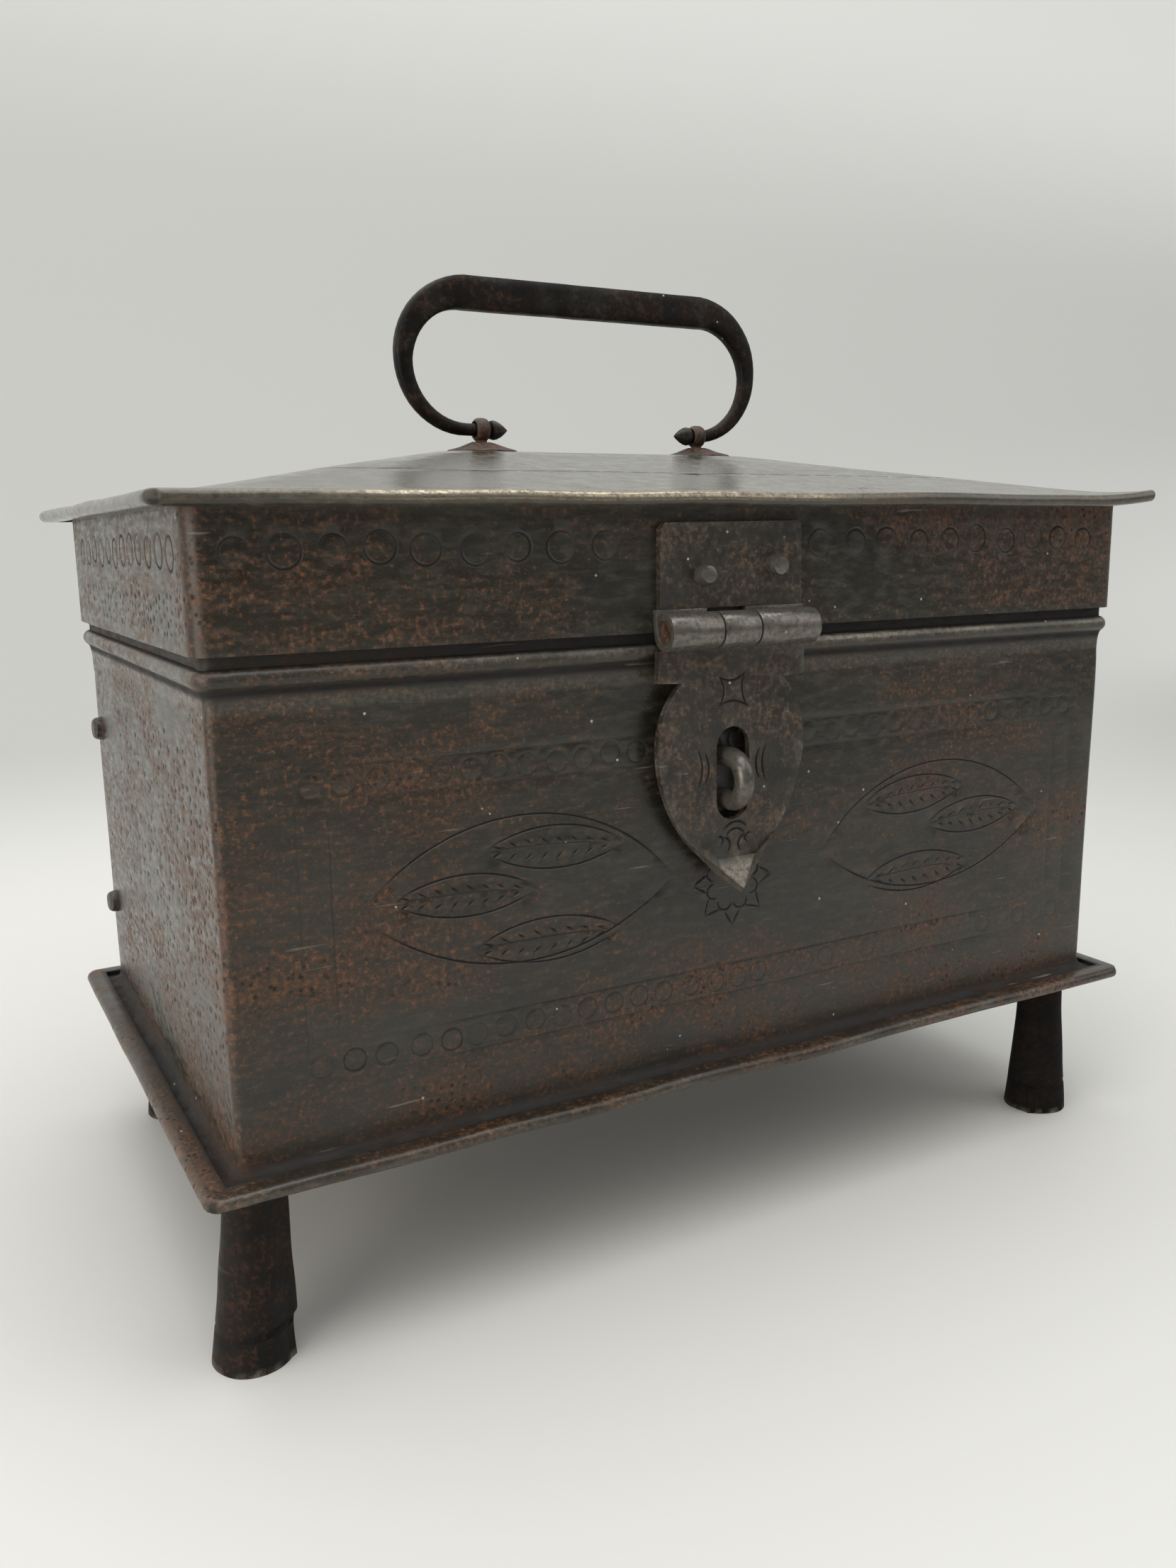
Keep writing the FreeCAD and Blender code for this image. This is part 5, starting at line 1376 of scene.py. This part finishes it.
def eyePiece(name, x):
    half, ring, edge, hole = fitting["width"] / 2, fitting["ring"], fitting["ringEdge"], fitting["hole"]
    shank, leg, reach = fitting["shank"], fitting["legRadius"], fitting["legLength"]
    ringSteps, shankSteps, legSteps = fitting["steps"]
    under = seatZ - sheet
    bead = [(half, edge), (half * fitting["roundShare"], ring * fitting["roundDrop"]),
            (half * fitting["flatShare"], ring)]
    bead = [(-a, r) for a, r in bead] + bead[::-1]
    bead += [(half * fitting["holeShare"], hole), (-half * fitting["holeShare"], hole)]
    post = [(under - leg, shank), (under + sheet + fitting["shankRise"], shank),
            (eyeZ - hole - fitting["shankIn"], shank * fitting["shankSwell"])]
    legs = [(-reach, fitting["legEnd"]), (-reach + fitting["legTaper"], leg), (reach - fitting["legTaper"], leg),
            (reach, fitting["legEnd"])]
    legZ = under - leg - fitting["seat"]
    points, faces = joinShells([
        latheAlong(bead, lambda a, s, u: (x + a, eyeY + s, eyeZ + u), ringSteps, True),
        latheAlong(post, lambda a, s, u: (x + s, eyeY + u, a), shankSteps, False),
        latheAlong(legs, lambda a, s, u: (x + s, eyeY + a, legZ + u), legSteps, False)])
    piece = makePiece(name + "_ring", points, faces, outward=True)
    finishPiece(piece, "lid", rustedIron, [name], sharp=fitting["eyeSharp"])


def rosettePiece(name, x):
    points, rows, count = [], fitting["rosetteRows"], fitting["around"]
    for share, rise in rows:
        for i in range(count):
            turn = 2 * math.pi * i / count
            dip = (1 - abs(math.cos(turn * fitting["lobes"] / 2))) * share  # between the lobes
            reach = fitting["rosette"] * share * (1 - (1 - fitting["valley"]) * dip)
            px, py = x + reach * math.cos(turn), eyeY + reach * math.sin(turn)
            lift = fitting["rosetteRise"] * rise * (1 - fitting["valleyDrop"] * dip)
            if fitting["hammerFrom"] < share < 1 and rise:
                lift += dent(px, py, 0, fitting["hammerSize"], fitting["hammer"])
            points.append((px, py, seatZ + lift))
    piece = makePiece(name + "_washer", points, gridFaces(len(rows), count, True), outward=True)
    finishPiece(piece, "lid", rustedIron, [name], sharp=fitting["rosetteSharp"])


for side, way in (("left", -1), ("right", 1)):
    place = eyeX + way * bail["eyeSpan"] / 2
    eyePiece("handle_eye_" + side, place)
    rosettePiece("handle_rosette_" + side, place)

# CAD pieces that keep their own mesh
keptFinish = {"hasp_staple": bareIron, "hasp_pin": rustedIron, "hinge_left_pin": bareIron, "hinge_right_pin": bareIron}
for node, material in keptFinish.items():
    mesh = frame["nodes"][node].data
    mesh.materials.clear()
    mesh.materials.append(material)
print("kept pieces coated")


# Studio: pale paper that curves up close behind, soft light from above and the left
studio = {
    "paper": "#dadad6", "seenLow": "#c5c6c1", "seenHigh": "#e2e3de", "sky": "#fbfbfa", "wide": 2500.0, "front": -1500.0,
    "back": 230.0, "curve": 320.0, "height": 1600.0, "rough": 0.6, "grain": 1.1, "grainDepth": 0.2, "grainShare": 0.05,
    "glossLift": 0.35, "worldLight": 0.5, "worldFront": 0.12, "worldSeen": 0.68, "worldFrom": -0.9, "worldTo": 0.6,
    "aim": (0, 0, 100),
}
# How the paper shows: axis, where it starts and ends, what it gives there
paperRanges = {
    "pale": ("Z", 360.0, 580.0, 0.0, 1.0, "SMOOTHSTEP"), "right": ("X", 450.0, 950.0, 0.0, 0.25, "LINEAR"),
    "low": ("Z", 100.0, 260.0, 1.0, 0.0, "LINEAR"), "risen": ("Z", 0.0, 60.0, 0.0, 0.85, "SMOOTHSTEP"),
}
# place, size, power, hue
lamps = {
    "key": ((-60, -60, 850), 950.0, 7.0, "#ffffff"), "side": ((-750, -320, 290), 520.0, 2.7, "#fff8ef"),
    "fill": ((600, -500, 600), 600.0, 1.2, "#ffffff"),
}


def sweepFloor():
    turns = [math.radians(a) for a in range(0, 91, 5)]
    bend = [(studio["back"] + studio["curve"] * math.sin(a), studio["curve"] * (1 - math.cos(a))) for a in turns]
    line = [(studio["front"], 0.0)] + bend + [(studio["back"] + studio["curve"], studio["height"])]
    points = [(x, y, z) for y, z in line for x in (-studio["wide"], studio["wide"])]
    mesh = bpy.data.meshes.new("studio_floor")
    mesh.from_pydata([Vector(p) * mm for p in points], [], gridFaces(len(line), 2, closedRound=False))
    mesh.polygons.foreach_set("use_smooth", [True] * len(mesh.polygons))
    floor = linkObject("studio_floor", mesh)
    material = bpy.data.materials.new("matt paper")  # photographer's paper: no gloss, faint tooth
    material.use_nodes = True
    tree = material.node_tree
    tree.nodes.clear()
    place = addNode(tree, "ShaderNodeTexCoord", {}).outputs["Object"]
    grain = addNode(tree, "ShaderNodeTexNoise", {"Vector": place, "Scale": 1 / (studio["grain"] * mm)})
    lift = addNode(tree, "ShaderNodeBump", {"Height": grain.outputs["Fac"], "Strength": studio["grainShare"],
                                            "Distance": studio["grainDepth"] * mm})
    paper = addNode(tree, "ShaderNodeBsdfPrincipled", {
        "Base Color": toLinear(studio["paper"]), "Roughness": studio["rough"], "Normal": lift.outputs[0]})
    # the camera and gloss see a paler paper than the light does
    path = addNode(tree, "ShaderNodeLightPath", {}).outputs
    axes = addNode(tree, "ShaderNodeSeparateXYZ", {0: place}).outputs
    shows = {}
    for key, (axis, start, end, low, high, kind) in paperRanges.items():
        limits = {0: axes[axis], 1: start * mm, 2: end * mm, 3: low, 4: high}
        shows[key] = addNode(tree, "ShaderNodeMapRange", limits, interpolation_type=kind).outputs[0]
    hues = {0: shows["pale"], 6: toLinear(studio["seenLow"]), 7: toLinear(studio["seenHigh"])}
    glow = addNode(tree, "ShaderNodeMix", hues, data_type="RGBA")
    level = addNode(tree, "ShaderNodeMath", {0: shows["right"], 1: shows["low"], 2: 1.0}, operation="MULTIPLY_ADD")
    gloss = {0: path["Is Glossy Ray"], 1: studio["glossLift"], 2: level.outputs[0]}
    level = addNode(tree, "ShaderNodeMath", gloss, operation="MULTIPLY_ADD")
    pale = addNode(tree, "ShaderNodeEmission", {"Color": glow.outputs[2], "Strength": level.outputs[0]})
    seen = addNode(tree, "ShaderNodeMath", {0: path["Is Camera Ray"], 1: path["Is Glossy Ray"]}, operation="MAXIMUM")
    share = addNode(tree, "ShaderNodeMath", {0: seen.outputs[0], 1: shows["risen"]}, operation="MULTIPLY")
    both = addNode(tree, "ShaderNodeMixShader", {0: share.outputs[0], 1: paper.outputs[0], 2: pale.outputs[0]})
    addNode(tree, "ShaderNodeOutputMaterial", {"Surface": both.outputs[0]})
    mesh.materials.append(material)


def studioLight():
    world = bpy.data.worlds.new("studio")
    bpy.context.scene.world = world
    world.use_nodes = True
    tree = world.node_tree
    tree.nodes.clear()
    way = addNode(tree, "ShaderNodeTexCoord", {}).outputs["Generated"]
    axes = addNode(tree, "ShaderNodeSeparateXYZ", {0: way}).outputs
    ahead = addNode(tree, "ShaderNodeMath", {0: axes["Z"], 1: 1.0, 2: axes["Y"]}, operation="MULTIPLY_ADD")
    limits = (ahead.outputs[0], studio["worldFrom"], studio["worldTo"], studio["worldFront"], studio["worldLight"])
    level = addNode(tree, "ShaderNodeMapRange", dict(enumerate(limits)))
    path = addNode(tree, "ShaderNodeLightPath", {}).outputs
    shown = addNode(tree, "ShaderNodeMath", {0: path["Is Camera Ray"], 1: studio["worldSeen"]}, operation="MULTIPLY")
    level = addNode(tree, "ShaderNodeMath", {0: level.outputs[0], 1: shown.outputs[0]}, operation="MAXIMUM")
    back = addNode(tree, "ShaderNodeBackground", {"Color": toLinear(studio["sky"]), "Strength": level.outputs[0]})
    addNode(tree, "ShaderNodeOutputWorld", {"Surface": back.outputs[0]})
    for name, (place, size, power, hue) in lamps.items():
        lamp = bpy.data.lights.new(name, "AREA")
        lamp.energy = power
        lamp.color = toLinear(hue)[:3]
        lamp.size = size * mm
        light = linkObject(name, lamp)
        light.location = Vector(place) * mm
        aim = Vector(studio["aim"]) * mm - light.location
        light.rotation_euler = aim.to_track_quat("-Z", "Y").to_euler()


# Camera where the photograph was taken
view = {"place": (-167.04, -294.36, 160.95), "yaw": 29.19, "pitch": -11.06, "roll": -0.80, "lens": 28.84,
        "sensor": 36.0, "nearest": 10.0}


def setCamera():
    yaw, pitch, roll = (math.radians(view[key]) for key in ("yaw", "pitch", "roll"))
    ahead = Vector((math.sin(yaw) * math.cos(pitch), math.cos(yaw) * math.cos(pitch), math.sin(pitch)))
    right = ahead.cross(Vector((0, 0, 1))).normalized()
    up = right.cross(ahead)
    tiltedRight = math.cos(roll) * right + math.sin(roll) * up
    tiltedUp = -math.sin(roll) * right + math.cos(roll) * up
    camera = bpy.data.cameras.new("camera")
    camera.lens = view["lens"]
    camera.sensor_width = view["sensor"]
    camera.clip_start = view["nearest"] * mm
    stand = linkObject("camera", camera)
    matrix = stand.matrix_world.to_3x3()
    matrix.col[0], matrix.col[1], matrix.col[2] = tiltedRight, tiltedUp, -ahead
    stand.matrix_world = matrix.to_4x4()
    stand.location = Vector(view["place"]) * mm
    bpy.context.scene.camera = stand


sweepFloor()
studioLight()
setCamera()
bpy.context.scene.view_settings.view_transform = "Standard"
print("studio set")
